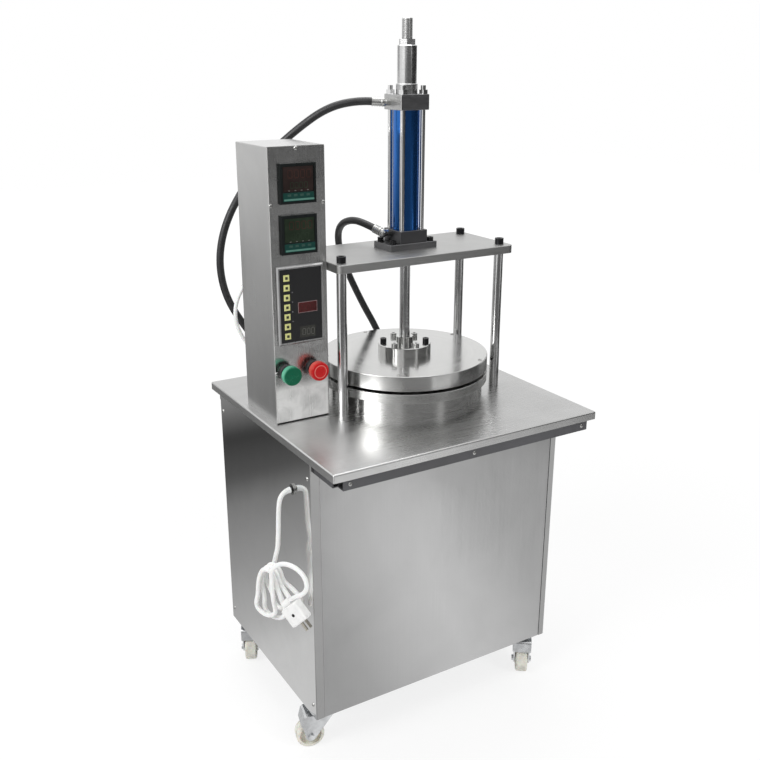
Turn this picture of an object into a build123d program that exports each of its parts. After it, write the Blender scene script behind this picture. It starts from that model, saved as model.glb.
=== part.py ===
from build123d import *
import math
import os

# A hydraulic tortilla press: a steel cabinet on casters, a table, a control box and a four-column press.
# Millimetres. The origin is on the floor under the middle of the table, with the front towards -Y.

# Table and cabinet
table_width = 596.0
table_depth = 568.0
table_height = 658.0
table_hem = 16.0
table_sheet = 1.5
table_edge_radius = 3.0
cabinet_bottom = 90.0
front_overhang = 94.0
rear_overhang = 44.0
left_inset = 2.5
right_inset = 16.0
panel_sheet = 1.2
panel_fold_radius = 2.0
left_flange = 18.0
right_flange = 14.0
panel_recess = 1.0
panel_reveal = 0.8
base_thickness = 3.0
post_leg = 25.0
post_wall = 3.0

# Rails and beams under the table
rail_width = 20.0
rail_drop = 34.0
rail_inset = 3.0
side_rail_inset = 10.0
rail_end_inset = 20.0
rail_wall = 2.0
beam_width = 40.0
beam_drop = 30.0
beam_wall = 3.0
cross_beam_offset = 60.0

# Case screws
screw_head_radius = 4.0
screw_head_height = 2.2
screw_shank_radius = 2.0
screw_length = 6.0
screw_side_margin = 14.0
screw_top_drop = 50.0
screw_bottom_rise = 28.0
rail_screw_pitch = 264.0

# Control box
box_width = 114.0
box_depth = 141.0
box_height = 522.0
box_left_margin = 16.0
box_front_margin = 261.0
box_sheet = 1.5
box_fold_radius = 2.0
box_lip = 6.0
box_plate_gap = 0.2
box_screw_margin = 4.2
box_screw_levels = (102.5, 419.0)
controller_size = 72.0
controller_bezel = 7.0
controller_body = 67.0
controller_body_depth = 72.0
controller_window = 62.0
controller_window_depth = 1.0
upper_controller_level = 456.5
lower_controller_level = 364.5
keypad_width = 96.0
keypad_height = 150.0
keypad_proud = 5.0
keypad_bevel = 2.5
keypad_level = 232.0
keypad_rim = 5.0
keypad_face_depth = 0.8
keypad_body_rim = 5.0
keypad_body_depth = 24.0
cutout_clearance = 0.3

# Push buttons
button_level = 103.4
start_button_margin = 23.2
stop_button_margin = 80.5
button_hole_radius = 11.2
collar_radius = 14.5
collar_height = 6.0
barrel_radius = 11.0
barrel_depth = 24.0
lock_ring_radius = 14.5
lock_ring_height = 5.0
contact_block_width = 30.0
contact_block_height = 40.0
contact_block_depth = 44.0
stem_radius = 6.0
stem_clearance = 0.08
stem_depth = 16.0
stem_room = 8.0
button_radius = 18.5
button_rear = 12.0
button_face = 33.0
button_neck_radius = 10.0
button_shoulder = 8.0
button_round = 3.0
stop_socket_depth = 10.0
stop_groove_radius = 11.5
stop_groove_width = 2.0
stop_groove_depth = 1.0

# Press frame and its axis
axis_x = 40.0
axis_y = 28.0
column_spacing_x = 372.0
column_spacing_y = 138.0
column_radius = 10.0
column_length = 290.0
column_bore_depth = 26.0
plate_thickness = 16.0
plate_side_margin = 19.0
plate_front_margin = 26.0
plate_corner = 12.0
plate_rod_hole = 14.0
bolt_radius = 6.0
bolt_head_radius = 9.0
bolt_head_height = 12.0
bolt_socket = 10.0
bolt_socket_depth = 6.0
bolt_hole_clearance = 0.5
bolt_thread_clearance = 0.1
bolt_engagement = 24.0

# Platens
platen_radius = 174.0
platen_gap = 5.0
drum_radius = 165.0
drum_wall = 8.0
drum_height = 29.5
lower_platen_thickness = 19.0
heater_inner_radius = 59.0
heater_outer_radius = 158.0
heater_thickness = 8.0
upper_plate_thickness = 14.0
upper_platen_height = 32.0
cover_sheet = 2.0
cover_skirt = 1.5
cover_reveal = 2.5
cover_edge_radius = 2.5
cover_fit = 0.3
platen_boss_radius = 57.0
platen_rim_width = 12.0
cover_screw_count = 5
cover_screw_inset = 8.0
cover_screw_angle = 90.0

# Ram hub
hub_radius = 55.5
hub_height = 20.0
hub_boss_radius = 18.0
hub_boss_height = 14.0
hub_edge = 1.0
hub_screw_count = 6
hub_screw_circle = 44.5
hub_screw_angle = 30.0
hub_screw_radius = 4.0
hub_screw_head_radius = 6.5
hub_screw_head_height = 8.0
hub_screw_socket = 6.0
hub_screw_engagement = 14.0

# Hydraulic cylinder
flange_length = 110.0
flange_width = 66.0
flange_thickness = 13.0
flange_bolt_spacing_x = 88.0
flange_bolt_spacing_y = 48.0
flange_bolt_engagement = 12.0
head_size = 64.0
head_corner = 2.0
head_edge = 0.8
lower_head_height = 25.0
tube_length = 231.0
tube_radius = 26.5
bore_radius = 20.0
upper_head_height = 29.0
tie_rod_offset = 23.0
tie_rod_radius = 5.0
tie_rod_engagement = 14.0
tie_rod_end = 8.0
tie_nut_size = 16.0
tie_nut_height = 8.0
gland_radius = 21.0
gland_height = 19.0
sleeve_radius = 19.0
sleeve_height = 70.0
sleeve_edge = 1.5
rod_radius = 11.0
adjusting_rod_radius = 10.0
rod_clearance = 0.06
rod_passage_clearance = 0.5
piston_rest_lift = 8.0
piston_height = 32.0
piston_clearance = 0.06
stop_nut_size = 30.0
stop_nut_height = 10.0
stop_nut_seat_gap = 0.3
rod_end_height = 38.0
rod_flats_size = 19.0
rod_flats_length = 10.0
rod_flats_lift = 14.0

# Hoses, cables and their fittings
hose_radius = 7.5
fitting_offset_y = 16.0
fitting_stub_radius = 7.0
fitting_stub_length = 12.0
fitting_ball_radius = 9.0
ferrule_radius = 9.0
ferrule_length = 17.0
ferrule_groove = 0.8
ferrule_groove_width = 3.0
upper_fitting_turn = (-0.88, 0.47, 0.05)
lower_fitting_turn = (-0.40, 0.86, 0.32)
lower_port_rise = 17.5
grommet_wall = 4.0
grommet_flange = 4.0
grommet_height = 3.0
hose_grommet_room = 2.0
signal_cable_radius = 4.0
signal_gland_radius = 8.0
signal_gland_length = 10.0
signal_gland_at = (-238.0, 925.0)
cord_radius = 4.5
cord_exit_y = -116.0
cord_exit_z = 563.5
cord_relief_rings = 5
cord_relief_radius = 7.2
cord_relief_end_radius = 5.6
cord_relief_pitch = 4.8
cord_relief_ring = 2.2
upper_grommet_x = -191.2
upper_grommet_y = 164.6
lower_grommet_x = 112.9
lower_grommet_y = 222.0
signal_grommet_x = -236.0
signal_grommet_y = 144.0

# Power unit inside the cabinet
tank_left = -150.0
tank_right = 150.0
tank_front = -90.0
tank_rear = 220.0
tank_height = 190.0
tank_corner = 15.0
lid_overlap = 8.0
lid_thickness = 6.0
motor_x = -70.0
motor_y = 40.0
motor_radius = 62.0
motor_height = 190.0
motor_flange_radius = 80.0
motor_flange_height = 10.0
motor_cowl_radius = 66.0
motor_cowl_height = 40.0
motor_box = 40.0
valve_x = 60.0
valve_y = 170.0
valve_width = 84.0
valve_depth = 70.0
valve_height = 60.0
valve_port_spacing = 36.0
solenoid_radius = 17.0
solenoid_length = 34.0

# Casters
caster_left_inset = 32.0
caster_right_inset = 28.0
caster_front_inset = 40.0
caster_rear_inset = 28.0
caster_plate_size = 52.0
caster_plate_thickness = 3.0
race_radius = 22.0
race_height = 6.0
king_pin_radius = 5.0
king_pin_head_radius = 9.0
king_pin_head_height = 4.0
caster_gap = 0.3
running_clearance = 0.08
crown_radius = 23.0
crown_thickness = 5.0
fork_wall = 3.0
fork_room = 30.0
fork_top_half = 21.0
fork_end_radius = 10.0
hood_reach = 45.0
hood_lip_run = 6.0
hood_lip_level = 56.5
hood_half_width = 21.0
hood_bend_radius = 5.0
hood_corner = 6.0
caster_trail = 27.0
wheel_radius = 29.0
wheel_width = 26.0
wheel_hub_radius = 12.0
wheel_hub_width = 29.0
wheel_rim_radius = 22.0
wheel_web = 10.0
wheel_shoulder = 4.0
axle_radius = 4.0
axle_head_radius = 6.5
axle_head_height = 4.0
swivel_angles = {"front_left": 165.0, "front_right": 232.0, "rear_left": 244.5, "rear_right": 345.0}

# Mains cord, its hank and its plug
cord_route = [(-307.5, cord_exit_y, cord_exit_z), (-316.5, -116.2, 559.5), (-323.5, -116.6, 551.5),
              (-327.0, -117.2, 537.0), (-329.5, -117.0, 508.0), (-332.0, -115.0, 478.0), (-334.5, -108.0, 448.0)]
hank_middle = (-347.0, -112.0, 362.0)
hank_turn = 60.0
hank_loops = 4
hank_pitch = 10.6
hank_half_width = 26.0
hank_neck_half_width = 12.5
hank_top = 50.0
hank_neck = 30.0
hank_shoulder = -28.0
hank_bottom = -51.0
hank_entry_rise = 46.0
hank_exit_rise = 42.0
hank_sizes = (1.0, 0.9, 1.06, 0.95)
hank_leans = (30.0, 16.0, 2.0, -12.0)
plug_across = 70.0
plug_out = 19.0
plug_up = -19.5
plug_turn = 44.5
plug_length = 40.0
plug_width = 45.0
plug_thickness = 20.0
plug_edge = 4.0
plug_neck_radius = 7.5
plug_neck_lift = 5.5
plug_neck_reach = 9.0
pin_spacing = 12.7
pin_width = 6.3
pin_thickness = 1.5
pin_length = 18.0
earth_pin_radius = 2.4
earth_pin_offset = 5.0

# Levels and edges that follow from the sizes above
table_left = -table_width / 2
table_right = table_width / 2
table_front = -table_depth / 2
table_rear = table_depth / 2
table_under = table_height - table_sheet
cabinet_left = table_left + left_inset
cabinet_right = table_right - right_inset
cabinet_front = table_front + front_overhang
cabinet_rear = table_rear - rear_overhang
inner_left = cabinet_left + panel_sheet
inner_right = cabinet_right - panel_sheet
inner_front = cabinet_front + panel_recess + panel_sheet
inner_rear = cabinet_rear - panel_recess - panel_sheet
base_top = cabinet_bottom + base_thickness
box_left = table_left + box_left_margin
box_right = box_left + box_width
box_front = table_front + box_front_margin
box_rear = box_front + box_depth
box_top = table_height + box_height
lower_platen_top = table_height + drum_height + lower_platen_thickness
upper_platen_low = lower_platen_top + platen_gap
upper_plate_top = upper_platen_low + upper_plate_thickness
cover_top = upper_platen_low + upper_platen_height
hub_top = cover_top + hub_height
plate_low = table_height + column_length
plate_top = plate_low + plate_thickness
flange_top = plate_top + flange_thickness
lower_head_top = flange_top + lower_head_height
tube_top = lower_head_top + tube_length
upper_head_top = tube_top + upper_head_height
gland_top = upper_head_top + gland_height
sleeve_top = gland_top + sleeve_height
stop_nut_low = sleeve_top + stop_nut_seat_gap
rod_top = stop_nut_low + stop_nut_height + rod_end_height
lid_top = base_top + tank_height + lid_thickness
valve_top = lid_top + valve_height
race_low = cabinet_bottom - caster_plate_thickness - race_height
crown_top = race_low - caster_gap
crown_low = crown_top - crown_thickness
columns_at = [(axis_x + sx * column_spacing_x / 2, axis_y + sy * column_spacing_y / 2)
              for sx in (-1, 1) for sy in (-1, 1)]
flange_bolts_at = [(axis_x + sx * flange_bolt_spacing_x / 2, axis_y + sy * flange_bolt_spacing_y / 2)
                   for sx in (-1, 1) for sy in (-1, 1)]
tie_rods_at = [(axis_x + sx * tie_rod_offset, axis_y + sy * tie_rod_offset) for sx in (-1, 1) for sy in (-1, 1)]
hub_screws_at = [(axis_x + hub_screw_circle * math.cos(math.radians(hub_screw_angle + 360 * k / hub_screw_count)),
                  axis_y + hub_screw_circle * math.sin(math.radians(hub_screw_angle + 360 * k / hub_screw_count)))
                 for k in range(hub_screw_count)]
cover_screw_circle = platen_radius - cover_screw_inset
cover_screws_at = [
    (axis_x + cover_screw_circle * math.cos(math.radians(cover_screw_angle + 360 * k / cover_screw_count)),
     axis_y + cover_screw_circle * math.sin(math.radians(cover_screw_angle + 360 * k / cover_screw_count)))
    for k in range(cover_screw_count)]
buttons_at = [(box_left + start_button_margin, table_height + button_level),
              (box_left + stop_button_margin, table_height + button_level)]
pivots = {"front_left": (cabinet_left + caster_left_inset, cabinet_front + caster_front_inset),
          "front_right": (cabinet_right - caster_right_inset, cabinet_front + caster_front_inset),
          "rear_left": (cabinet_left + caster_left_inset, cabinet_rear - caster_rear_inset),
          "rear_right": (cabinet_right - caster_right_inset, cabinet_rear - caster_rear_inset)}


def block(x_low, x_high, y_low, y_high, z_low, z_high):
    """A plain block between two corners."""
    middle = Pos((x_low + x_high) / 2, (y_low + y_high) / 2, (z_low + z_high) / 2)
    return middle * Box(x_high - x_low, y_high - y_low, z_high - z_low)


def upright(place, z_low, z_high, radius):
    """A cylinder along Z at an (x, y) place."""
    return Pos(place[0], place[1], (z_low + z_high) / 2) * Cylinder(radius, z_high - z_low)


def along_y(place, y_low, y_high, radius):
    """A cylinder along Y at an (x, z) place."""
    return Pos(place[0], (y_low + y_high) / 2, place[1]) * Rot(90, 0, 0) * Cylinder(radius, y_high - y_low)


def along_x(place, x_low, x_high, radius):
    """A cylinder along X at a (y, z) place."""
    return Pos((x_low + x_high) / 2, place[0], place[1]) * Rot(0, 90, 0) * Cylinder(radius, x_high - x_low)


def hexagon(place, z_low, z_high, across_flats):
    """A hexagonal prism along Z at an (x, y) place."""
    outline = RegularPolygon(radius=across_flats / 2, side_count=6, major_radius=False)
    return Pos(place[0], place[1], z_low) * extrude(outline, amount=z_high - z_low)


def group(pieces):
    """Separate solids that share one node."""
    return Compound([piece.solid() for piece in pieces])


def drilled(body, places, z_low, z_high, radius):
    """A body with upright holes at (x, y) places."""
    for place in places:
        body = body - upright(place, z_low, z_high, radius)
    return body


def socket_screw(place, seat, length, sizes, points_up=False):
    """A socket-head screw whose head sits on the level called seat."""
    shank, head, height, socket, depth = sizes
    body = upright((0, 0), 0, height, head) + upright((0, 0), -length, 0, shank)
    body = body - hexagon((0, 0), height - depth, height, socket)
    if points_up:
        body = Rot(180, 0, 0) * body
    return Pos(place[0], place[1], seat) * body


def hollow_bar(x_low, x_high, y_low, y_high, z_low, z_high, wall, lengthwise):
    """A rectangular tube that is open at both ends along its length."""
    outside = block(x_low, x_high, y_low, y_high, z_low, z_high)
    if lengthwise == "x":
        return outside - block(x_low, x_high, y_low + wall, y_high - wall, z_low + wall, z_high - wall)
    return outside - block(x_low + wall, x_high - wall, y_low, y_high, z_low + wall, z_high - wall)


def rounded_route(points):
    """Straight runs joined by tangent arcs, each as large as its two runs allow, and the arcs' radii."""
    corners = [Vector(*point) for point in points]
    radii = []
    for before, here, after in zip(corners, corners[1:], corners[2:]):
        arriving = here - before
        leaving = after - here
        half_turn = math.radians(arriving.get_angle(leaving)) / 2
        radii.append(0.45 * min(arriving.length, leaving.length) / math.tan(half_turn))
    return FilletPolyline(*corners, radius=radii), radii


def tube_along(name, points, radius):
    """A round cord or hose along its route."""
    route, radii = rounded_route(points)
    tube = sweep(Plane(origin=route @ 0, z_dir=route % 0) * Circle(radius), path=route)
    share = tube.volume / (math.pi * radius ** 2 * route.length)
    print(f"{name}: length {route.length:.0f} mm, least radius {min(radii):.1f} mm, volume share {share:.4f}")
    return tube


def case_screw_places():
    """Where the case screws sit: a point on the surface and the direction that the screw points in."""
    places = []
    levels = (cabinet_bottom + screw_bottom_rise, table_height - screw_top_drop)
    for z in levels:
        for y in (cabinet_front + screw_side_margin, cabinet_rear - screw_side_margin):
            places.append(((cabinet_left, y, z), (1, 0, 0)))
            places.append(((cabinet_right, y, z), (-1, 0, 0)))
        for x in (inner_left + post_leg - screw_head_radius, inner_right - post_leg + screw_head_radius):
            places.append(((x, cabinet_rear - panel_recess, z), (0, -1, 0)))
    for step in (-1, 0, 1):
        front_rail_level = table_height - (table_hem + rail_drop) / 2
        places.append(((step * rail_screw_pitch, table_front + rail_inset, front_rail_level), (0, 1, 0)))
    for level in box_screw_levels:
        for x in (box_left + box_screw_margin, box_right - box_screw_margin):
            places.append(((x, box_front, table_height + level), (0, 1, 0)))
    places.append((((box_left + box_right) / 2, box_front, box_top - box_screw_margin), (0, 1, 0)))
    return places


def screw_holes(radius=screw_shank_radius):
    """The holes that the case screws pass through."""
    holes = []
    for place, direction in case_screw_places():
        sleeve = extrude(Circle(radius), amount=screw_length)
        holes.append(Plane(origin=place, z_dir=direction) * sleeve)
    return holes


def without_screw_holes(body):
    """A sheet with the case screws' holes cut where they meet it."""
    box = body.bounding_box()
    for hole in screw_holes():
        middle = hole.center()
        inside = all(low - screw_length < value < high + screw_length for low, value, high in
                     zip(box.min, middle, box.max))
        if inside:
            body = body - hole
    return body


def case_screws():
    """Pan-head screws in the panels, the front rail and the control box."""
    screws = []
    for place, direction in case_screw_places():
        head = extrude(Circle(screw_head_radius), amount=-screw_head_height)
        shank = extrude(Circle(screw_shank_radius), amount=screw_length)
        screws.append(Plane(origin=place, z_dir=direction) * (head + shank))
    return group(screws)


def corner_posts():
    """Four angle posts inside the cabinet's corners."""
    posts = []
    for x, side in ((inner_left, 1), (inner_right, -1)):
        for y, deep in ((inner_front, 1), (inner_rear, -1)):
            along = block(min(x, x + side * post_leg), max(x, x + side * post_leg),
                          min(y, y + deep * post_wall), max(y, y + deep * post_wall), base_top, table_under)
            across = block(min(x, x + side * post_wall), max(x, x + side * post_wall),
                           min(y, y + deep * post_leg), max(y, y + deep * post_leg), base_top, table_under)
            posts.append(without_screw_holes(along + across))
    return group(posts)


def base_plate():
    """The floor of the cabinet, which carries the casters and the power unit."""
    return block(inner_left, inner_right, inner_front, inner_rear, cabinet_bottom, base_top)


def side_panel(outside, inward, flange):
    """A side sheet that is folded round the front and rear corners."""
    far = outside + inward * flange
    near = outside + inward * panel_sheet
    low, high = min(outside, far), max(outside, far)
    panel = block(low, high, cabinet_front, cabinet_rear, cabinet_bottom, table_under)
    folds = [edge for edge in panel.edges().filter_by(Axis.Z) if abs(edge.center().X - outside) < panel_sheet]
    panel = fillet(folds, panel_fold_radius)
    hollow_low, hollow_high = min(near, far), max(near, far)
    panel = panel - block(hollow_low, hollow_high, cabinet_front + panel_sheet, cabinet_rear - panel_sheet,
                          cabinet_bottom, table_under)
    return without_screw_holes(panel)


def left_panel():
    """The polished left side, with the hole for the mains cord's grommet."""
    panel = side_panel(cabinet_left, 1, left_flange)
    hole = along_x((cord_exit_y, cord_exit_z), cabinet_left, inner_left, cord_radius + grommet_wall)
    return panel - hole


def flat_panel(y_outside, inward):
    """A flat sheet that closes the front or the rear between the side panels' flanges."""
    low = cabinet_left + left_flange + panel_reveal
    high = cabinet_right - right_flange - panel_reveal
    y_face = y_outside + inward * panel_recess
    y_back = y_face + inward * panel_sheet
    panel = block(low, high, min(y_face, y_back), max(y_face, y_back), cabinet_bottom, table_under)
    return without_screw_holes(panel)


def table_grommets_at():
    """Places, bore radii and hole radii of the grommets in the table."""
    hose_bore = hose_radius + hose_grommet_room
    return [((upper_grommet_x, upper_grommet_y), hose_bore, hose_bore + grommet_wall),
            ((lower_grommet_x, lower_grommet_y), hose_bore, hose_bore + grommet_wall),
            ((signal_grommet_x, signal_grommet_y), 0.0, signal_cable_radius + grommet_wall)]


def table_top():
    """The folded table sheet with rounded edges and a turned-down hem."""
    outside = block(table_left, table_right, table_front, table_rear, table_height - table_hem, table_height)
    outside = fillet(outside.edges().filter_by(Axis.Z), table_edge_radius)
    outside = fillet(outside.faces().sort_by(Axis.Z)[-1].edges(), table_edge_radius)
    inside = block(table_left + table_sheet, table_right - table_sheet, table_front + table_sheet,
                   table_rear - table_sheet, table_height - table_hem, table_under)
    inside = fillet(inside.edges().filter_by(Axis.Z), table_edge_radius - table_sheet)
    table = outside - inside
    table = drilled(table, columns_at, table_under, table_height, bolt_radius + bolt_hole_clearance)
    for place, bore, hole in table_grommets_at():
        table = table - upright(place, table_under, table_height, hole)
    return table


def table_rails():
    """Rectangular tubes under the table's overhangs, and the beams that carry the press."""
    front = table_front + rail_inset
    rear = table_rear - rail_inset
    low = table_height - table_sheet - rail_drop
    ends = (table_left + rail_end_inset, table_right - rail_end_inset)
    rails = [hollow_bar(ends[0], ends[1], front, front + rail_width, low, table_under, rail_wall, "x"),
             hollow_bar(ends[0], ends[1], rear - rail_width, rear, low, table_under, rail_wall, "x")]
    for x_low in (table_left + side_rail_inset, table_right - side_rail_inset - rail_width):
        rails.append(hollow_bar(x_low, x_low + rail_width, front + rail_width, cabinet_front, low, table_under,
                                rail_wall, "y"))
        rails.append(hollow_bar(x_low, x_low + rail_width, cabinet_rear, rear - rail_width, low, table_under,
                                rail_wall, "y"))
    beam_low = table_under - beam_drop
    for side in (-1, 1):
        x = axis_x + side * column_spacing_x / 2
        beam = hollow_bar(x - beam_width / 2, x + beam_width / 2, inner_front, inner_rear, beam_low, table_under,
                          beam_wall, "y")
        rails.append(drilled(beam, columns_at, beam_low, table_under, bolt_radius + bolt_hole_clearance))
        y = axis_y + side * cross_beam_offset
        reach = column_spacing_x / 2 - beam_width / 2
        rails.append(hollow_bar(axis_x - reach, axis_x + reach, y - beam_width / 2, y + beam_width / 2, beam_low,
                                table_under, beam_wall, "x"))
    return group([without_screw_holes(rail) for rail in rails])


def control_box_shell():
    """The folded back, sides and top of the control box, with lips that hold the front plate."""
    lip_front = box_front + box_sheet
    shell = block(box_left, box_right, box_front, box_rear, table_height, box_top)
    folds = [edge for edge in shell.edges() if edge.center().Y > lip_front and edge.center().Z > table_height]
    shell = fillet(folds, box_fold_radius)
    shell = shell - block(box_left + box_sheet, box_right - box_sheet, box_front, box_rear - box_sheet, table_height,
                          box_top - box_sheet)
    lip_back = lip_front + box_sheet
    for low, high in ((box_left + box_sheet, box_left + box_sheet + box_lip),
                      (box_right - box_sheet - box_lip, box_right - box_sheet)):
        shell = shell + block(low, high, lip_front, lip_back, table_height, box_top - box_sheet)
    shell = shell + block(box_left + box_sheet, box_right - box_sheet, lip_front, lip_back,
                          box_top - box_sheet - box_lip, box_top - box_sheet)
    return without_screw_holes(shell)


def control_box_front():
    """The front plate with the cut-outs for the controllers, the keypad and the buttons."""
    plate = block(box_left + box_sheet + box_plate_gap, box_right - box_sheet - box_plate_gap, box_front,
                  box_front + box_sheet, table_height, box_top - box_sheet - box_plate_gap)
    middle = (box_left + box_right) / 2
    back = box_front + box_sheet
    half = controller_body / 2 + cutout_clearance
    for level in (upper_controller_level, lower_controller_level):
        z = table_height + level
        plate = plate - block(middle - half, middle + half, box_front, back, z - half, z + half)
    half_width = keypad_width / 2 - keypad_body_rim + cutout_clearance
    half_height = keypad_height / 2 - keypad_body_rim + cutout_clearance
    z = table_height + keypad_level
    plate = plate - block(middle - half_width, middle + half_width, box_front, back, z - half_height, z + half_height)
    for place in buttons_at:
        plate = plate - along_y(place, box_front, back, button_hole_radius)
    return without_screw_holes(plate)


def temperature_controllers():
    """Two square panel controllers, each a bezel with a sunk window and a body behind the plate."""
    controllers = []
    middle = (box_left + box_right) / 2
    half = controller_size / 2
    body_half = controller_body / 2
    window_half = controller_window / 2
    front = box_front - controller_bezel
    for level in (upper_controller_level, lower_controller_level):
        z = table_height + level
        bezel = block(middle - half, middle + half, front, box_front, z - half, z + half)
        bezel = fillet(bezel.faces().sort_by(Axis.Y)[0].edges(), controller_window_depth)
        body = block(middle - body_half, middle + body_half, box_front, box_front + controller_body_depth,
                     z - body_half, z + body_half)
        window = block(middle - window_half, middle + window_half, front, front + controller_window_depth,
                       z - window_half, z + window_half)
        controllers.append(bezel + body - window)
    return group(controllers)


def keypad_unit():
    """The timer's bevelled frame with its sunk key face, and its body behind the plate."""
    middle = (box_left + box_right) / 2
    z = table_height + keypad_level
    front = box_front - keypad_proud
    frame = block(middle - keypad_width / 2, middle + keypad_width / 2, front, box_front, z - keypad_height / 2,
                  z + keypad_height / 2)
    frame = chamfer(frame.faces().sort_by(Axis.Y)[0].edges(), keypad_bevel)
    face_width = keypad_width / 2 - keypad_rim
    face_height = keypad_height / 2 - keypad_rim
    frame = frame - block(middle - face_width, middle + face_width, front, front + keypad_face_depth,
                          z - face_height, z + face_height)
    body_width = keypad_width / 2 - keypad_body_rim
    body_height = keypad_height / 2 - keypad_body_rim
    return frame + block(middle - body_width, middle + body_width, box_front, box_front + keypad_body_depth,
                         z - body_height, z + body_height)


def button_collars():
    """The two fixed button bodies: a front ring, a barrel, a lock ring and a contact block."""
    collars = []
    back = box_front + box_sheet
    block_front = back + barrel_depth
    bore_end = box_front + stem_depth + stem_room
    for place in buttons_at:
        ring = along_y(place, box_front - collar_height, box_front, collar_radius)
        ring = chamfer(ring.edges().group_by(Axis.Y)[0], 1.0)
        body = ring + along_y(place, box_front, block_front, barrel_radius)
        body = body + along_y(place, back, back + lock_ring_height, lock_ring_radius)
        body = body + block(place[0] - contact_block_width / 2, place[0] + contact_block_width / 2, block_front,
                            block_front + contact_block_depth, place[1] - contact_block_height / 2,
                            place[1] + contact_block_height / 2)
        bore = along_y(place, box_front - collar_height, bore_end, stem_radius + stem_clearance)
        collars.append(body - bore)
    return group(collars)


def mushroom(place):
    """A mushroom head turned about Y, from its neck near the collar to its rounded face."""
    rear, face, shoulder = button_rear, button_face, button_rear + button_shoulder
    with BuildSketch() as outline:
        with BuildLine():
            Polyline((0, rear), (button_neck_radius, rear))
            Spline((button_neck_radius, rear), (button_radius, shoulder), tangents=((0.4, 1), (0, 1)))
            Line((button_radius, shoulder), (button_radius, face - button_round))
            RadiusArc((button_radius, face - button_round), (button_radius - button_round, face - 0.4), -button_round)
            Line((button_radius - button_round, face - 0.4), (0, face))
            Line((0, face), (0, rear))
        make_face()
    head = revolve(outline.sketch, axis=Axis.Y)
    return Pos(place[0], box_front, place[1]) * Rot(180, 0, 0) * head


def start_button():
    """The green mushroom push button with its stem."""
    place = buttons_at[0]
    stem = along_y(place, box_front - button_rear - button_shoulder, box_front + stem_depth, stem_radius)
    return mushroom(place) + stem


def stop_button():
    """The red mushroom head with a ring groove, turned on its stem to release it."""
    place = buttons_at[1]
    socket_front = box_front - button_rear - stop_socket_depth
    head = mushroom(place) - along_y(place, socket_front, box_front - button_rear, stem_radius + stem_clearance)
    face = box_front - button_face
    groove = along_y(place, face, face + stop_groove_depth, stop_groove_radius + stop_groove_width)
    groove = groove - along_y(place, face, face + stop_groove_depth, stop_groove_radius)
    return head - groove


def stop_button_stem():
    """The stop button's stem, which slides in the collar and carries the red head."""
    place = buttons_at[1]
    stem_front = box_front - button_rear - stop_socket_depth + caster_gap
    return along_y(place, stem_front, box_front + stem_depth, stem_radius)


def disc_ring(z_low, z_high, outer, inner=0.0):
    """A disc or ring about the press axis."""
    ring = upright((axis_x, axis_y), z_low, z_high, outer)
    if inner > 0:
        ring = ring - upright((axis_x, axis_y), z_low, z_high, inner)
    return ring


def lower_platen_drum():
    """The drum that carries the lower platen on the table."""
    return disc_ring(table_height, table_height + drum_height, drum_radius, drum_radius - drum_wall)


def lower_heater():
    """The heater ring that is clamped under the lower platen."""
    top = table_height + drum_height
    return disc_ring(top - heater_thickness, top, drum_radius - drum_wall - cover_fit, heater_inner_radius)


def lower_platen():
    """The fixed platen, with softened edges."""
    plate = disc_ring(table_height + drum_height, lower_platen_top, platen_radius)
    return fillet(plate.edges(), hub_edge)


def upper_platen():
    """The moving platen: a plate with a rim and a boss that carry the cover and the hub."""
    inside_cover = platen_radius - cover_skirt - cover_fit
    cover_under = cover_top - cover_sheet
    plate = disc_ring(upper_platen_low, upper_plate_top, inside_cover)
    plate = chamfer(plate.edges().sort_by(Axis.Z)[0], hub_edge)
    plate = plate + disc_ring(upper_plate_top, cover_under, inside_cover, inside_cover - platen_rim_width)
    plate = plate + disc_ring(upper_plate_top, cover_under, platen_boss_radius)
    screw_low = cover_under - hub_screw_engagement - bolt_hole_clearance
    plate = drilled(plate, hub_screws_at, screw_low, cover_under, hub_screw_radius + bolt_thread_clearance)
    return drilled(plate, cover_screws_at, cover_under - screw_length, cover_under,
                   screw_shank_radius + bolt_thread_clearance)


def upper_heater():
    """The heater ring that lies in the upper platen."""
    outer = platen_radius - cover_skirt - cover_fit - platen_rim_width - cover_fit
    return disc_ring(upper_plate_top, upper_plate_top + heater_thickness, outer, heater_inner_radius)


def upper_platen_cover():
    """The polished pan that covers the upper platen."""
    low = upper_platen_low + cover_reveal
    pan = disc_ring(low, cover_top, platen_radius)
    pan = fillet(pan.edges().sort_by(Axis.Z)[-1], cover_edge_radius - hub_edge)
    pan = pan - disc_ring(low, cover_top - cover_sheet, platen_radius - cover_skirt)
    pan = drilled(pan, hub_screws_at, low, cover_top, hub_screw_radius + bolt_hole_clearance)
    return drilled(pan, cover_screws_at, low, cover_top, screw_shank_radius + bolt_thread_clearance)


def cover_screws():
    """Small pan-head screws that hold the cover to the platen's rim."""
    screws = []
    for place in cover_screws_at:
        head = upright(place, cover_top, cover_top + screw_head_height, screw_head_radius)
        screws.append(head + upright(place, cover_top - screw_length, cover_top, screw_shank_radius))
    return group(screws)


def ram_hub():
    """The flanged hub that joins the piston rod to the upper platen."""
    hub = disc_ring(cover_top, hub_top, hub_radius)
    hub = chamfer(hub.edges().sort_by(Axis.Z)[-1], hub_edge)
    boss = disc_ring(hub_top, hub_top + hub_boss_height, hub_boss_radius)
    boss = chamfer(boss.edges().sort_by(Axis.Z)[-1], hub_edge)
    hub = hub + boss
    hub = hub - disc_ring(cover_top, hub_top + hub_boss_height, rod_radius + rod_clearance)
    return drilled(hub, hub_screws_at, cover_top, hub_top, hub_screw_radius + bolt_hole_clearance)


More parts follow.
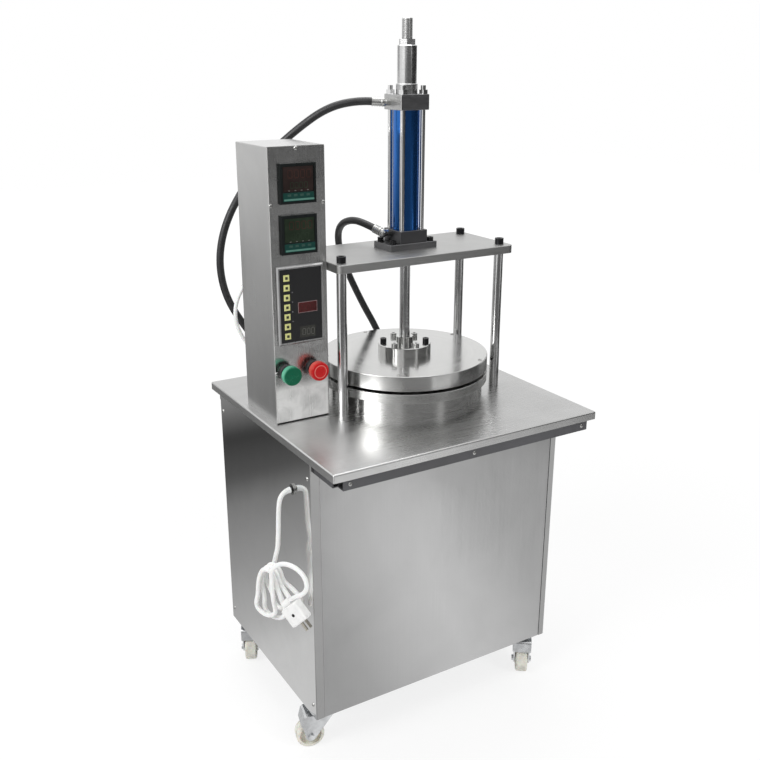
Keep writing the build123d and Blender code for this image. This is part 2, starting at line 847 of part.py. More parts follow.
def hub_screws():
    """Black socket screws through the hub into the platen's boss."""
    sizes = (hub_screw_radius, hub_screw_head_radius, hub_screw_head_height, hub_screw_socket,
             hub_screw_head_height / 2)
    length = hub_height + cover_sheet + hub_screw_engagement
    return group([socket_screw(place, hub_top, length, sizes) for place in hub_screws_at])


def piston_rod():
    """The rod from the hub to the threaded top, with its piston and its spanner flats."""
    piston_low = lower_head_top + piston_rest_lift
    piston_high = piston_low + piston_height
    rod = disc_ring(cover_top, piston_low, rod_radius)
    rod = rod + disc_ring(piston_low, piston_high, bore_radius - piston_clearance)
    top = disc_ring(piston_high, rod_top, adjusting_rod_radius)
    rod = rod + chamfer(top.edges().sort_by(Axis.Z)[-1], hub_edge)
    flats_low = hub_top + hub_boss_height + rod_flats_lift
    for side in (-1, 1):
        near = axis_y + side * rod_flats_size / 2
        far = axis_y + side * (rod_radius + hub_edge)
        rod = rod - block(axis_x - rod_radius, axis_x + rod_radius, min(near, far), max(near, far), flats_low,
                          flats_low + rod_flats_length)
    return rod


def stop_nut():
    """The hexagon nut on the rod's thread that stops the press on the sleeve."""
    nut = hexagon((axis_x, axis_y), stop_nut_low, stop_nut_low + stop_nut_height, stop_nut_size)
    nut = nut & disc_ring(stop_nut_low, stop_nut_low + stop_nut_height, stop_nut_size / 2 * 1.1)
    return nut - disc_ring(stop_nut_low, stop_nut_low + stop_nut_height, adjusting_rod_radius + rod_clearance)


def columns():
    """Four bright columns, tapped at both ends."""
    pieces = []
    for place in columns_at:
        column = upright(place, table_height, plate_low, column_radius)
        bore = bolt_radius + bolt_thread_clearance
        column = column - upright(place, table_height, table_height + column_bore_depth, bore)
        pieces.append(column - upright(place, plate_low - column_bore_depth, plate_low, bore))
    return group(pieces)


def column_bolts():
    """Black socket bolts into the columns, from above the top plate and from under the beams."""
    sizes = (bolt_radius, bolt_head_radius, bolt_head_height, bolt_socket, bolt_socket_depth)
    bolts = [socket_screw(place, plate_top, plate_thickness + bolt_engagement, sizes) for place in columns_at]
    low_length = beam_drop + table_sheet + bolt_engagement
    bolts += [socket_screw(place, table_under - beam_drop, low_length, sizes, True) for place in columns_at]
    return group(bolts)


def top_plate():
    """The thick plate on the columns that carries the cylinder."""
    length = column_spacing_x + 2 * plate_side_margin
    width = column_spacing_y + 2 * plate_front_margin
    plate = extrude(RectangleRounded(length, width, plate_corner), amount=plate_thickness)
    plate = Pos(axis_x, axis_y, plate_low) * plate
    plate = chamfer(plate.edges().group_by(Axis.Z)[-1], hub_edge)
    plate = drilled(plate, columns_at, plate_low, plate_top, bolt_radius + bolt_hole_clearance)
    plate = drilled(plate, flange_bolts_at, plate_top - flange_bolt_engagement - bolt_hole_clearance, plate_top,
                    hub_screw_radius + bolt_thread_clearance)
    return plate - disc_ring(plate_low, plate_top, plate_rod_hole)


def cylinder_flange():
    """The flange plate under the cylinder."""
    flange = extrude(RectangleRounded(flange_length, flange_width, head_corner), amount=flange_thickness)
    flange = Pos(axis_x, axis_y, plate_top) * chamfer(flange.edges().group_by(Axis.Z)[-1], head_edge)
    flange = drilled(flange, flange_bolts_at, plate_top, flange_top, hub_screw_radius + bolt_hole_clearance)
    return flange - disc_ring(plate_top, flange_top, rod_radius + rod_passage_clearance)


def flange_bolts():
    """Black socket bolts through the flange into the top plate."""
    sizes = (hub_screw_radius, hub_screw_head_radius, hub_screw_head_height, hub_screw_socket,
             hub_screw_head_height / 2)
    length = flange_thickness + flange_bolt_engagement
    return group([socket_screw(place, flange_top, length, sizes) for place in flange_bolts_at])


def head_block(z_low, z_high):
    """A square cylinder head about the press axis."""
    outline = RectangleRounded(head_size, head_size, head_corner)
    head = extrude(outline, amount=z_high - z_low)
    levels = head.edges().group_by(Axis.Z)
    return Pos(axis_x, axis_y, z_low) * chamfer(levels[0] + levels[-1], head_edge)


def lower_cylinder_head():
    """The lower head, which guides the rod and takes the tie rods' threads."""
    head = head_block(flange_top, lower_head_top)
    head = head - disc_ring(flange_top, lower_head_top, rod_radius + rod_clearance)
    return drilled(head, tie_rods_at, lower_head_top - tie_rod_engagement - bolt_hole_clearance, lower_head_top,
                   tie_rod_radius + bolt_thread_clearance)


def cylinder_tube():
    """The honed tube between the heads."""
    return disc_ring(lower_head_top, tube_top, tube_radius, bore_radius)


def upper_cylinder_head():
    """The upper head, with holes for the tie rods and the adjusting rod."""
    head = head_block(tube_top, upper_head_top)
    head = head - disc_ring(tube_top, upper_head_top, adjusting_rod_radius + rod_clearance)
    return drilled(head, tie_rods_at, tube_top, upper_head_top, tie_rod_radius + bolt_thread_clearance)


def tie_rods():
    """Four tie rods, each with its nut on the upper head."""
    rods = []
    for place in tie_rods_at:
        rod = upright(place, lower_head_top - tie_rod_engagement, upper_head_top + tie_nut_height + tie_rod_end,
                      tie_rod_radius)
        rods.append(rod + hexagon(place, upper_head_top, upper_head_top + tie_nut_height, tie_nut_size))
    return group(rods)


def rod_gland():
    """The round gland on the upper head."""
    gland = disc_ring(upper_head_top, gland_top, gland_radius)
    gland = chamfer(gland.edges().sort_by(Axis.Z)[-1], hub_edge)
    return gland - disc_ring(upper_head_top, gland_top, adjusting_rod_radius + rod_passage_clearance)


def stop_sleeve():
    """The sleeve on which the stop nut lands at the end of the stroke."""
    sleeve = disc_ring(gland_top, sleeve_top, sleeve_radius)
    sleeve = chamfer(sleeve.edges().sort_by(Axis.Z)[-1], sleeve_edge)
    return sleeve - disc_ring(gland_top, sleeve_top, adjusting_rod_radius + rod_passage_clearance)


def ferrule(start, direction):
    """A crimped hose end along a direction, with three grooves."""
    ferrule_body = Cylinder(ferrule_radius, ferrule_length, align=(Align.CENTER, Align.CENTER, Align.MIN))
    for k in range(1, 4):
        level = k * ferrule_length / 4
        ring = Cylinder(ferrule_radius, ferrule_groove_width) - Cylinder(ferrule_radius - ferrule_groove,
                                                                         ferrule_groove_width)
        ferrule_body = ferrule_body - Pos(0, 0, level) * ring
    return Plane(origin=start, z_dir=direction) * ferrule_body


def fitting_starts():
    """The ball centres of the two fittings on the cylinder's left side."""
    x = axis_x - head_size / 2 - fitting_stub_length
    y = axis_y + fitting_offset_y
    return Vector(x, y, tube_top + upper_head_height / 2), Vector(x, y, flange_top + lower_port_rise)


def hose_ends():
    """Where the hoses meet their fittings, as (upper start, upper end, lower start, lower end)."""
    upper, lower = fitting_starts()
    upper_start = upper + Vector(*upper_fitting_turn).normalized() * (fitting_ball_radius / 2 + ferrule_length)
    lower_start = lower + Vector(*lower_fitting_turn).normalized() * (fitting_ball_radius / 2 + ferrule_length)
    upper_end = Vector(valve_x - valve_port_spacing / 2, valve_y, valve_top + ferrule_length)
    lower_end = Vector(valve_x + valve_port_spacing / 2, valve_y, valve_top + ferrule_length)
    return upper_start, upper_end, lower_start, lower_end


def hose_fittings():
    """Swivel fittings on the cylinder's heads and straight ones on the valve block."""
    fittings = []
    for middle, turn in zip(fitting_starts(), (upper_fitting_turn, lower_fitting_turn)):
        stub = along_x((middle.Y, middle.Z), middle.X, middle.X + fitting_stub_length, fitting_stub_radius)
        ball = Pos(middle.X, middle.Y, middle.Z) * Sphere(fitting_ball_radius)
        direction = Vector(*turn).normalized()
        fittings.append(stub + ball + ferrule(middle + direction * (fitting_ball_radius / 2), direction))
    for side in (-1, 1):
        fittings.append(ferrule(Vector(valve_x + side * valve_port_spacing / 2, valve_y, valve_top), (0, 0, 1)))
    return group(fittings)


def upper_hose():
    """The long hose from the upper head, round the back of the control box and down to the valve block."""
    start, end, _, _ = hose_ends()
    second = start + Vector(*upper_fitting_turn).normalized() * 30.0
    points = [tuple(start), tuple(second), (-97, 98, 1237), (-144, 130, 1199), (-196, 162, 1147), (-246, 180, 1083),
              (-285, 187, 1014), (-302, 187, 942), (-292, 184, 868), (-256, 178, 802), (-214, 171, 741),
              (-192, 165, 682), (-190, 164, 625), (-172, 162, 585), (-136, 160.5, 556), (-88, 160.5, 536),
              (-36, 163, 518), (8, 167, 492), (32, 169, 452), (42, 170, 412), tuple(end)]
    return tube_along("upper hose", points, hose_radius)


def lower_hose():
    """The short hose from the lower head, down behind the platens to the valve block."""
    _, _, start, end = hose_ends()
    second = start + Vector(*lower_fitting_turn).normalized() * 34.0
    points = [tuple(start), tuple(second), (-34, 124, 1012), (-38, 156, 1000), (-33, 183, 974), (-17, 202, 926),
              (14, 215, 868), (51, 222, 800), (88, 223, 737), (112, 222, 676), (117, 222, 610), (112, 215, 548),
              (98, 198, 494), (84, 180, 446), (78, 170, 408), tuple(end)]
    return tube_along("lower hose", points, hose_radius)


def signal_cable():
    """The thin white cable from the back of the control box to the table."""
    x, z = signal_gland_at
    start = (x, box_rear + signal_gland_length, z)
    end = (signal_grommet_x, signal_grommet_y, table_height + grommet_height)
    points = [start, (x, 143.5, z), (-242.3, 156.9, 918.6), (-249.7, 164.4, 907.4), (-264, 164.7, 886),
              (-280, 162, 858), (-285, 157, 826), (-277, 152, 796), (-261, 148.5, 768), (-246, 146, 739),
              (-237.5, 144.5, 710), (-236, 144, 684), end]
    return tube_along("signal cable", points, signal_cable_radius)


def cable_grommets():
    """Rubber grommets in the table and the left panel, and the signal cable's gland."""
    grommets = []
    for place, bore, hole in table_grommets_at():
        grommet = upright(place, table_under - grommet_height, table_height + grommet_height, hole - cover_fit)
        grommet = grommet + upright(place, table_height, table_height + grommet_height, hole + grommet_flange)
        if bore > 0:
            grommet = grommet - upright(place, table_under - grommet_height, table_height + grommet_height, bore)
        grommets.append(grommet)
    exit_place = (cord_exit_y, cord_exit_z)
    mains = along_x(exit_place, cabinet_left - grommet_height, inner_left + grommet_height,
                    cord_radius + grommet_wall - cover_fit)
    flange = along_x(exit_place, cabinet_left - grommet_height, cabinet_left, cord_radius + grommet_wall
                     + grommet_flange / 2)
    grommets.append(mains + flange)
    grommets.append(along_y(signal_gland_at, box_rear, box_rear + signal_gland_length, signal_gland_radius))
    return group(grommets)


def hank_frame():
    """The hank's own plane: across the loops, out from the panel, and up."""
    turn = math.radians(hank_turn)
    across = Vector(math.cos(turn), -math.sin(turn), 0)
    out = Vector(-math.sin(turn), -math.cos(turn), 0)
    return Vector(*hank_middle), across, out


def hank_point(across_by, out_by, up_by):
    """A point in the hank's own plane."""
    middle, across, out = hank_frame()
    return middle + across * across_by + out * out_by + Vector(0, 0, up_by)


def fanned(across_by, up_by, loop):
    """A place below the tie, in a loop that has its own size and leans to its own side."""
    lean = math.radians(hank_leans[loop])
    wide = across_by * hank_sizes[loop]
    drop = (up_by - hank_neck) * hank_sizes[loop]
    return (wide * math.cos(lean) - drop * math.sin(lean),
            hank_neck + wide * math.sin(lean) + drop * math.cos(lean))


def hank_stations():
    """Points and directions round the loops: down the left strand, round the foot, up the right and over the top."""
    _, across, out = hank_frame()
    up = Vector(0, 0, 1)
    rise = out * (hank_pitch / 300)
    slope = math.atan2(hank_half_width - hank_neck_half_width, hank_neck - hank_shoulder)
    splay, drop = math.sin(slope), math.cos(slope)
    steps = [(-hank_neck_half_width, hank_neck, 0.08, (-splay, -drop)),
             (-hank_half_width, hank_shoulder, 0.2, (-splay, -drop)), (0.0, hank_bottom, 0.34, (1, 0)),
             (hank_half_width, hank_shoulder, 0.48, (-splay, drop)),
             (hank_neck_half_width, hank_neck, 0.6, (-splay, drop)), (0.0, hank_top, 0.84, (-1, 0))]
    first = -hank_pitch * (hank_loops - 0.4) / 2
    stations = [(hank_point(-hank_neck_half_width, first + 0.08 * hank_pitch, hank_entry_rise), up * -1)]
    for loop in range(hank_loops):
        for across_by, up_by, share, (run, climb) in steps:
            lean = math.radians(hank_leans[loop]) * (1 if up_by < hank_neck else 0.5 if up_by == hank_neck else 0)
            if up_by < hank_neck:
                across_by, up_by = fanned(across_by, up_by, loop)
            direction = (across * (run * math.cos(lean) - climb * math.sin(lean))
                         + up * (run * math.sin(lean) + climb * math.cos(lean)))
            place = hank_point(across_by, first + (loop + share) * hank_pitch, up_by)
            stations.append((place, (direction + rise).normalized()))
    stations.pop()
    stations[1] = (stations[1][0], up * -1)
    stations[-1] = (stations[-1][0], up)
    last = first + (hank_loops - 1 + 0.6) * hank_pitch
    stations.append((hank_point(hank_neck_half_width, last, hank_exit_rise), up))
    return stations


def tangent_arc(start, corner, end):
    """The arc that leaves start towards corner and reaches end from it, with points along it."""
    turn = math.radians((corner - start).get_angle(end - corner))
    weight = math.cos(turn / 2)
    middle = (start + corner * (2 * weight) + end) * (1 / (2 + 2 * weight))
    if turn < 0.002:
        return Line(start, end), [start, middle]
    return ThreePointArc(start, middle, end), [start, middle]


def biarc(start, start_direction, end, end_direction):
    """Two arcs that join two places and keep both directions, with points along them."""
    chord = end - start
    both = start_direction + end_direction
    square = 2 * (start_direction.dot(end_direction) - 1)
    along = -2 * chord.dot(both)
    if abs(square) < 1e-9:
        reach = -chord.dot(chord) / along
    else:
        reach = (-along - math.sqrt(along ** 2 - 4 * square * chord.dot(chord))) / (2 * square)
    first_corner = start + start_direction * reach
    second_corner = end - end_direction * reach
    joint = (first_corner + second_corner) * 0.5
    first, first_points = tangent_arc(start, first_corner, joint)
    second, second_points = tangent_arc(joint, second_corner, end)
    return [first, second], first_points + second_points


def least_gap(points, radius):
    """The least distance between the surfaces of strands that lie apart along one tube."""
    fine = []
    travelled = 0.0
    for before, after in zip(points, points[1:]):
        length = (after - before).length
        pieces = max(1, round(length / 3))
        for k in range(pieces):
            fine.append((travelled + length * k / pieces, before + (after - before) * (k / pieces)))
        travelled += length
    apart = 8 * radius
    gaps = [(p - q).length for i, (s, p) in enumerate(fine) for t, q in fine[i + 1:] if t - s > apart]
    return min(gaps) - 2 * radius


def cord_hank():
    """The tied hank of the mains cord: one unbroken tube through all of its loops."""
    edges, points = [], []
    stations = hank_stations()
    for (start, start_direction), (end, end_direction) in zip(stations, stations[1:]):
        pair, along = biarc(start, start_direction, end, end_direction)
        edges += pair
        points += along
    points.append(stations[-1][0])
    route = Wire(edges)
    tube = sweep(Plane(origin=stations[0][0], z_dir=stations[0][1]) * Circle(cord_radius), path=route)
    share = tube.volume / (math.pi * cord_radius ** 2 * route.length)
    print(f"cord hank: length {route.length:.0f} mm, least gap to itself {least_gap(points, cord_radius):.2f} mm, "
          f"volume share {share:.4f}")
    return tube


def mains_cord():
    """The cord from the left panel's grommet down to the hank, with the tapering rings of its strain relief."""
    top = hank_stations()[0][0]
    points = [(cabinet_left - grommet_height, cord_exit_y, cord_exit_z)] + cord_route
    points += [tuple(top + Vector(0, 0, 20)), tuple(top)]
    cord = tube_along("mains cord", points, cord_radius)
    route, _ = rounded_route(points)
    for k in range(cord_relief_rings):
        share = (k * cord_relief_pitch + cord_relief_ring / 2) / route.length
        radius = cord_relief_radius + (cord_relief_end_radius - cord_relief_radius) * k / (cord_relief_rings - 1)
        cord = cord + Plane(origin=route @ share, z_dir=route % share) * Cylinder(radius, cord_relief_ring)
    return cord


def plug_frame():
    """The plug's middle, the way its pins point and the way its cord leaves."""
    turn = math.radians(plug_turn)
    _, across, out = hank_frame()
    up = Vector(0, 0, 1)
    forward = across * math.cos(turn) - up * math.sin(turn)
    sideways = across * math.sin(turn) + up * math.cos(turn)
    return hank_point(plug_across, plug_out, plug_up), forward, sideways, out


def cord_tail():
    """The last stretch of cord, in an open loop from the hank to the plug."""
    middle, forward, sideways, _ = plug_frame()
    neck_end = middle - forward * (plug_length / 2 + plug_neck_lift) + sideways * plug_neck_reach
    start = hank_stations()[-1][0]
    points = [start, start + Vector(0, 0, 11)]
    points += [hank_point(across_by, plug_out, up_by) for across_by, up_by in
               ((23, 66), (39, 77), (59, 80), (78, 75), (92, 63), (97, 46), (90, 28))]
    points += [neck_end + sideways * 13.0, neck_end]
    return tube_along("cord tail", [tuple(point) for point in points], cord_radius)


def mains_plug():
    """The flat plug with its side neck, two flat pins and an earth pin."""
    middle, forward, sideways, out = plug_frame()
    half = plug_length / 2
    body = fillet(Box(plug_length, plug_width, plug_thickness).edges(), plug_edge)
    neck = Rot(-90, 0, 0) * Cylinder(plug_neck_radius, plug_width / 4 + plug_neck_reach)
    neck_middle = (plug_neck_reach - plug_width / 4) / 2
    body = body + Pos(-half - plug_neck_lift, neck_middle, 0) * neck
    for side in (-1, 1):
        pin = Box(pin_length, pin_thickness, pin_width, align=(Align.MIN, Align.CENTER, Align.CENTER))
        body = body + Pos(half, side * pin_spacing / 2, -earth_pin_offset / 2) * pin
    earth = Rot(0, 90, 0) * Cylinder(earth_pin_radius, pin_length, align=(Align.CENTER, Align.CENTER, Align.MIN))
    body = body + Pos(half, 0, earth_pin_offset) * earth
    return Plane(origin=middle, x_dir=forward, z_dir=forward.cross(sideways)) * body


def caster_plates():
    """The four fixed caster tops: a plate, a bearing race and a king pin with its head."""
    tops = []
    pin_low = crown_low - caster_gap - king_pin_head_height
    for x, y in pivots.values():
        plate = extrude(RectangleRounded(caster_plate_size, caster_plate_size, king_pin_radius),
                        amount=caster_plate_thickness)
        top = Pos(x, y, cabinet_bottom - caster_plate_thickness) * plate
        top = top + upright((x, y), race_low, cabinet_bottom - caster_plate_thickness, race_radius)
        top = top + upright((x, y), pin_low, race_low, king_pin_radius)
        tops.append(top + upright((x, y), pin_low, pin_low + king_pin_head_height, king_pin_head_radius))
    return group(tops)


def at_pivot(corner, body):
    """A caster piece turned to its swivel angle and moved to its corner."""
    x, y = pivots[corner]
    return Pos(x, y, 0) * Rot(0, 0, swivel_angles[corner]) * body


def fork_hood():
    """The sheet that runs from the crown over the wheel, bends down on the trailing side and ends in a lip."""
    level = crown_top - fork_wall / 2
    line = FilletPolyline((0, level), (hood_reach - hood_lip_run, level), (hood_reach, hood_lip_level),
                          radius=hood_bend_radius)
    side = Plane(origin=(0, hood_half_width, 0), x_dir=(1, 0, 0), z_dir=(0, -1, 0))
    sheet = extrude(side * trace(line, fork_wall), amount=2 * hood_half_width)
    plan = RectangleRounded(2 * (hood_reach + fork_wall), 2 * hood_half_width, hood_corner)
    return sheet & extrude(plan, amount=cabinet_bottom)


def caster_fork(corner):
    """The swivel fork: a crown, two tapered legs under a hood, and the axle with its heads."""
    crown = upright((0, 0), crown_low, crown_top, crown_radius)
    crown = chamfer(crown.edges().sort_by(Axis.Z)[0], hub_edge)
    foot = Pos(caster_trail, wheel_radius) * Circle(fork_end_radius)
    root_ends = (hub_edge - fork_top_half, hood_reach - hood_lip_run - fork_wall)
    root = Pos(sum(root_ends) / 2, (crown_low + crown_top) / 2) * Rectangle(root_ends[1] - root_ends[0], crown_thickness)
    lip = Pos(hood_reach - fork_wall, hood_lip_level + fork_wall) * Circle(fork_wall)
    outline = make_hull((foot + root + lip).edges())
    fork = crown
    for side in (-1, 1):
        near = side * fork_room / 2
        leg = extrude(Plane(origin=(0, near, 0), x_dir=(1, 0, 0), z_dir=(0, -1, 0)) * outline, amount=-side * fork_wall)
        fork = fork + leg
    fork = fork + fork_hood()
    reach = fork_room / 2 + fork_wall
    axle = along_y((caster_trail, wheel_radius), -reach, reach, axle_radius)
    for side in (-1, 1):
        ends = (side * reach, side * (reach + axle_head_height))
        axle = axle + along_y((caster_trail, wheel_radius), min(ends), max(ends), axle_head_radius)
    fork = fork + axle
    fork = fork - upright((0, 0), crown_low, crown_top, king_pin_radius + running_clearance)
    return at_pivot(corner, fork)


def caster_wheel(corner):
    """The nylon wheel: a rounded tread, a thin web and a hub that turns on the axle."""
    place = (caster_trail, wheel_radius)
    half = wheel_width / 2
    wheel = along_y(place, -half, half, wheel_radius)
    wheel = fillet(wheel.edges().filter_by(GeomType.CIRCLE), wheel_shoulder)
    for side in (-1, 1):
        ends = (side * wheel_web / 2, side * half)
        recess = along_y(place, min(ends), max(ends), wheel_rim_radius)
        wheel = wheel - (recess - along_y(place, min(ends), max(ends), wheel_hub_radius))
    wheel = wheel + along_y(place, -wheel_hub_width / 2, wheel_hub_width / 2, wheel_hub_radius)
    wheel = wheel - along_y(place, -wheel_hub_width / 2, wheel_hub_width / 2, axle_radius + running_clearance)
    return at_pivot(corner, wheel)


def oil_tank():
    """The welded oil tank and its lid."""
    tank = block(tank_left, tank_right, tank_front, tank_rear, base_top, lid_top - lid_thickness)
    tank = fillet(tank.edges().filter_by(Axis.Z), tank_corner)
    inside = block(tank_left + base_thickness, tank_right - base_thickness, tank_front + base_thickness,
                   tank_rear - base_thickness, base_top + base_thickness, lid_top - lid_thickness)
    tank = tank - fillet(inside.edges().filter_by(Axis.Z), tank_corner - base_thickness)
    lid = block(tank_left - lid_overlap, tank_right + lid_overlap, tank_front - lid_overlap, tank_rear + lid_overlap,
                lid_top - lid_thickness, lid_top)
    return group([tank, fillet(lid.edges().filter_by(Axis.Z), tank_corner)])


def pump_motor():
    """The upright motor on the tank's lid, with the pump's flange, the fan cowl and the terminal box."""
    place = (motor_x, motor_y)
    flange_high = lid_top + motor_flange_height
    cowl_high = lid_top + motor_height
    motor = upright(place, lid_top, flange_high, motor_flange_radius)
    motor = motor + upright(place, flange_high, cowl_high - motor_cowl_height, motor_radius)
    cowl = upright(place, cowl_high - motor_cowl_height, cowl_high, motor_cowl_radius)
    motor = motor + fillet(cowl.edges().sort_by(Axis.Z)[-1], motor_flange_height / 2)
    middle = (flange_high + cowl_high - motor_cowl_height) / 2
    return motor + block(motor_x - motor_box, motor_x + motor_box, motor_y - motor_radius - motor_box / 2, motor_y,
                         middle - motor_box, middle + motor_box)


def valve_block():
    """The valve block on the lid, with a solenoid at either end."""
    body = block(valve_x - valve_width / 2, valve_x + valve_width / 2, valve_y - valve_depth / 2,
                 valve_y + valve_depth / 2, lid_top, valve_top)
    body = chamfer(body.edges().filter_by(Axis.Z), head_corner)
    level = (lid_top + valve_top) / 2
    for side in (-1, 1):
        ends = (valve_x + side * valve_width / 2, valve_x + side * (valve_width / 2 + solenoid_length))
        body = body + along_x((valve_y, level), min(ends), max(ends), solenoid_radius)
    return body


nodes = {
    "corner_posts": corner_posts(),
    "base_plate": base_plate(),
    "front_panel": flat_panel(cabinet_front, 1),
    "left_panel": left_panel(),
    "right_panel": side_panel(cabinet_right, -1, right_flange),
    "rear_panel": flat_panel(cabinet_rear, -1),
    "table_top": table_top(),
    "table_rails": table_rails(),
    "case_screws": case_screws(),
    "control_box_shell": control_box_shell(),
    "control_box_front": control_box_front(),
    "temperature_controllers": temperature_controllers(),
    "keypad_unit": keypad_unit(),
    "button_collars": button_collars(),
    "start_button": start_button(),
    "stop_button": stop_button(),
    "stop_button_stem": stop_button_stem(),
    "lower_platen_drum": lower_platen_drum(),
    "lower_platen": lower_platen(),
    "lower_heater": lower_heater(),
    "upper_platen": upper_platen(),
    "upper_heater": upper_heater(),
    "upper_platen_cover": upper_platen_cover(),
    "cover_screws": cover_screws(),
    "ram_hub": ram_hub(),
    "hub_screws": hub_screws(),
    "piston_rod": piston_rod(),
    "stop_nut": stop_nut(),
    "columns": columns(),
    "column_bolts": column_bolts(),
    "top_plate": top_plate(),
    "cylinder_flange": cylinder_flange(),
    "flange_bolts": flange_bolts(),
    "lower_cylinder_head": lower_cylinder_head(),
    "cylinder_tube": cylinder_tube(),
    "upper_cylinder_head": upper_cylinder_head(),
    "tie_rods": tie_rods(),
    "rod_gland": rod_gland(),
    "stop_sleeve": stop_sleeve(),
    "hose_fittings": hose_fittings(),
    "upper_hose": upper_hose(),
    "lower_hose": lower_hose(),
    "signal_cable": signal_cable(),
    "cable_grommets": cable_grommets(),
    "mains_cord": mains_cord(),
    "cord_hank": cord_hank(),
    "cord_tail": cord_tail(),
    "mains_plug": mains_plug(),
    "caster_plates": caster_plates(),
    "oil_tank": oil_tank(),
    "pump_motor": pump_motor(),
    "valve_block": valve_block(),
}
for corner in pivots:
    nodes[f"caster_fork_{corner}"] = caster_fork(corner)
    nodes[f"caster_wheel_{corner}"] = caster_wheel(corner)

os.makedirs("parts", exist_ok=True)
for name, shape in nodes.items():
    export_step(shape, f"parts/{name}.step")
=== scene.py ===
import math

import bmesh
import bpy
from mathutils import Matrix, Vector


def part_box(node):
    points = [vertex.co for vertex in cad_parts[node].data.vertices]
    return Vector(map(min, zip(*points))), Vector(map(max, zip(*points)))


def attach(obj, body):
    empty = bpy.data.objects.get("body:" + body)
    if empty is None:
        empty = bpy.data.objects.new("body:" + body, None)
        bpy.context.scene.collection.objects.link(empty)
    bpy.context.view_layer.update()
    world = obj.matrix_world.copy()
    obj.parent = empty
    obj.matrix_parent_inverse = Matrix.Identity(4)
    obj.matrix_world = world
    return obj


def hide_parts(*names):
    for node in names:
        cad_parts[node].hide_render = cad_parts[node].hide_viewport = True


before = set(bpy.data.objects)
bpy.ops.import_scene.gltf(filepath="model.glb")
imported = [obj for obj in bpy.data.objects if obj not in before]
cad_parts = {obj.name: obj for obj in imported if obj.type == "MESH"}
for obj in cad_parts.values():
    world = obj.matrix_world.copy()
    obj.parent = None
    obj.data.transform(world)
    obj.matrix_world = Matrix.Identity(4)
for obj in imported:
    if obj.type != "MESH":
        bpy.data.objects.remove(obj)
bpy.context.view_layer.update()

# Cabinet skeleton: four angle posts and a floor sheet, cut from mild steel and welded.
# They are sprayed with grey primer before the polished panels are screwed on.


def blank_material(name):
    """A new material and its node tree."""
    material = bpy.data.materials.new(name)
    material.use_nodes = True
    return material, material.node_tree


def feed(tree, node, values):
    """Sets a node's inputs to plain values, or links them to other nodes' outputs."""
    for key, value in dict(values).items():
        if isinstance(value, bpy.types.NodeSocket):
            tree.links.new(value, node.inputs[key])
        else:
            node.inputs[key].default_value = value


def place_node(tree, kind, values=(), **settings):
    """A node with its settings and its inputs."""
    node = tree.nodes.new(kind)
    for key, value in settings.items():
        setattr(node, key, value)
    feed(tree, node, values)
    return node


def made(tree, kind, values=(), **settings):
    """The first output of a node with its settings and its inputs."""
    return place_node(tree, kind, values, **settings).outputs[0]


def coordinate(tree, axis=None, kind="Object"):
    """The object's own coordinates or normal, whole or along one axis."""
    whole = place_node(tree, "ShaderNodeTexCoord").outputs[kind]
    return whole if axis is None else place_node(tree, "ShaderNodeSeparateXYZ", {0: whole}).outputs[axis]


def noise(tree, stretch, detail=3.0, roughness=0.55, distortion=0.0, shift=(0, 0, 0)):
    """Noise on the object's own coordinates, with its frequency per metre for all axes or each."""
    scale = stretch if isinstance(stretch, tuple) else (stretch,) * 3
    place = made(tree, "ShaderNodeMapping", {"Vector": coordinate(tree), "Scale": scale, "Location": shift})
    return made(tree, "ShaderNodeTexNoise", {
        "Vector": place, "Scale": 1.0, "Detail": detail, "Roughness": roughness, "Distortion": distortion})


def spread(tree, value, low, high, start=0.3, stop=0.7):
    """A value spread from one range to another."""
    return made(tree, "ShaderNodeMapRange", {
        "Value": value, "From Min": start, "From Max": stop, "To Min": low, "To Max": high})


def blend(tree, factor, first, second, way="MIX"):
    """A colour between two or of two multiplied, each a plain colour or another node's."""
    sides = [side if isinstance(side, bpy.types.NodeSocket) else (*side, 1.0) for side in (first, second)]
    return place_node(tree, "ShaderNodeMix", {0: factor, 6: sides[0], 7: sides[1]}, data_type="RGBA",
                      blend_type=way).outputs[2]


def shaded(colour, amount):
    """A colour made lighter or darker."""
    return tuple(min(1.0, c * amount) for c in colour)


def drifting(tree, pattern, colour, low, high, start=0.3, stop=0.7):
    """A colour that a pattern takes from one shade of it to another."""
    return blend(tree, spread(tree, pattern, 0, 1, start, stop), shaded(colour, low), shaded(colour, high))


def surface(material, colour, roughness, *bumps, metallic=0.0, shine=0.5, subsurface=0.0):
    """Feeds a material's shader, with bumps that are each a height, a strength and a depth."""
    tree, normal = material.node_tree, {}
    for height, strength, depth in bumps:
        normal = {"Normal": made(tree, "ShaderNodeBump", {
            "Height": height, "Strength": strength, "Distance": depth, **normal})}
    feed(tree, tree.nodes["Principled BSDF"], {
        "Base Color": colour, "Roughness": roughness, "Metallic": metallic, "Specular IOR Level": shine,
        "Subsurface Weight": subsurface, **normal})
    return material


def paint(name, colour, roughness=0.45, peel=90.0, peel_depth=0.0002, fade=0.12, metallic=0.0, shine=0.5):
    """Sprayed paint or moulded plastic: faint colour drift, fine peel and uneven gloss."""
    material, tree = blank_material(name)
    drift = noise(tree, 9, 4.0)
    fine = noise(tree, peel * 8, 2.0, shift=(3, 7, 1))
    return surface(material, drifting(tree, drift, colour, 1 - fade, 1 + fade),
                   spread(tree, drift, roughness - 0.06, roughness + 0.08), (fine, 0.25, peel_depth),
                   metallic=metallic, shine=shine)


def dress(material, *names):
    """Gives CAD nodes their finish."""
    for name in names:
        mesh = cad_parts[name].data
        mesh.materials.clear()
        mesh.materials.append(material)


dress(paint("grey_primer", (0.30, 0.31, 0.32), 0.6, fade=0.18), "corner_posts", "base_plate")

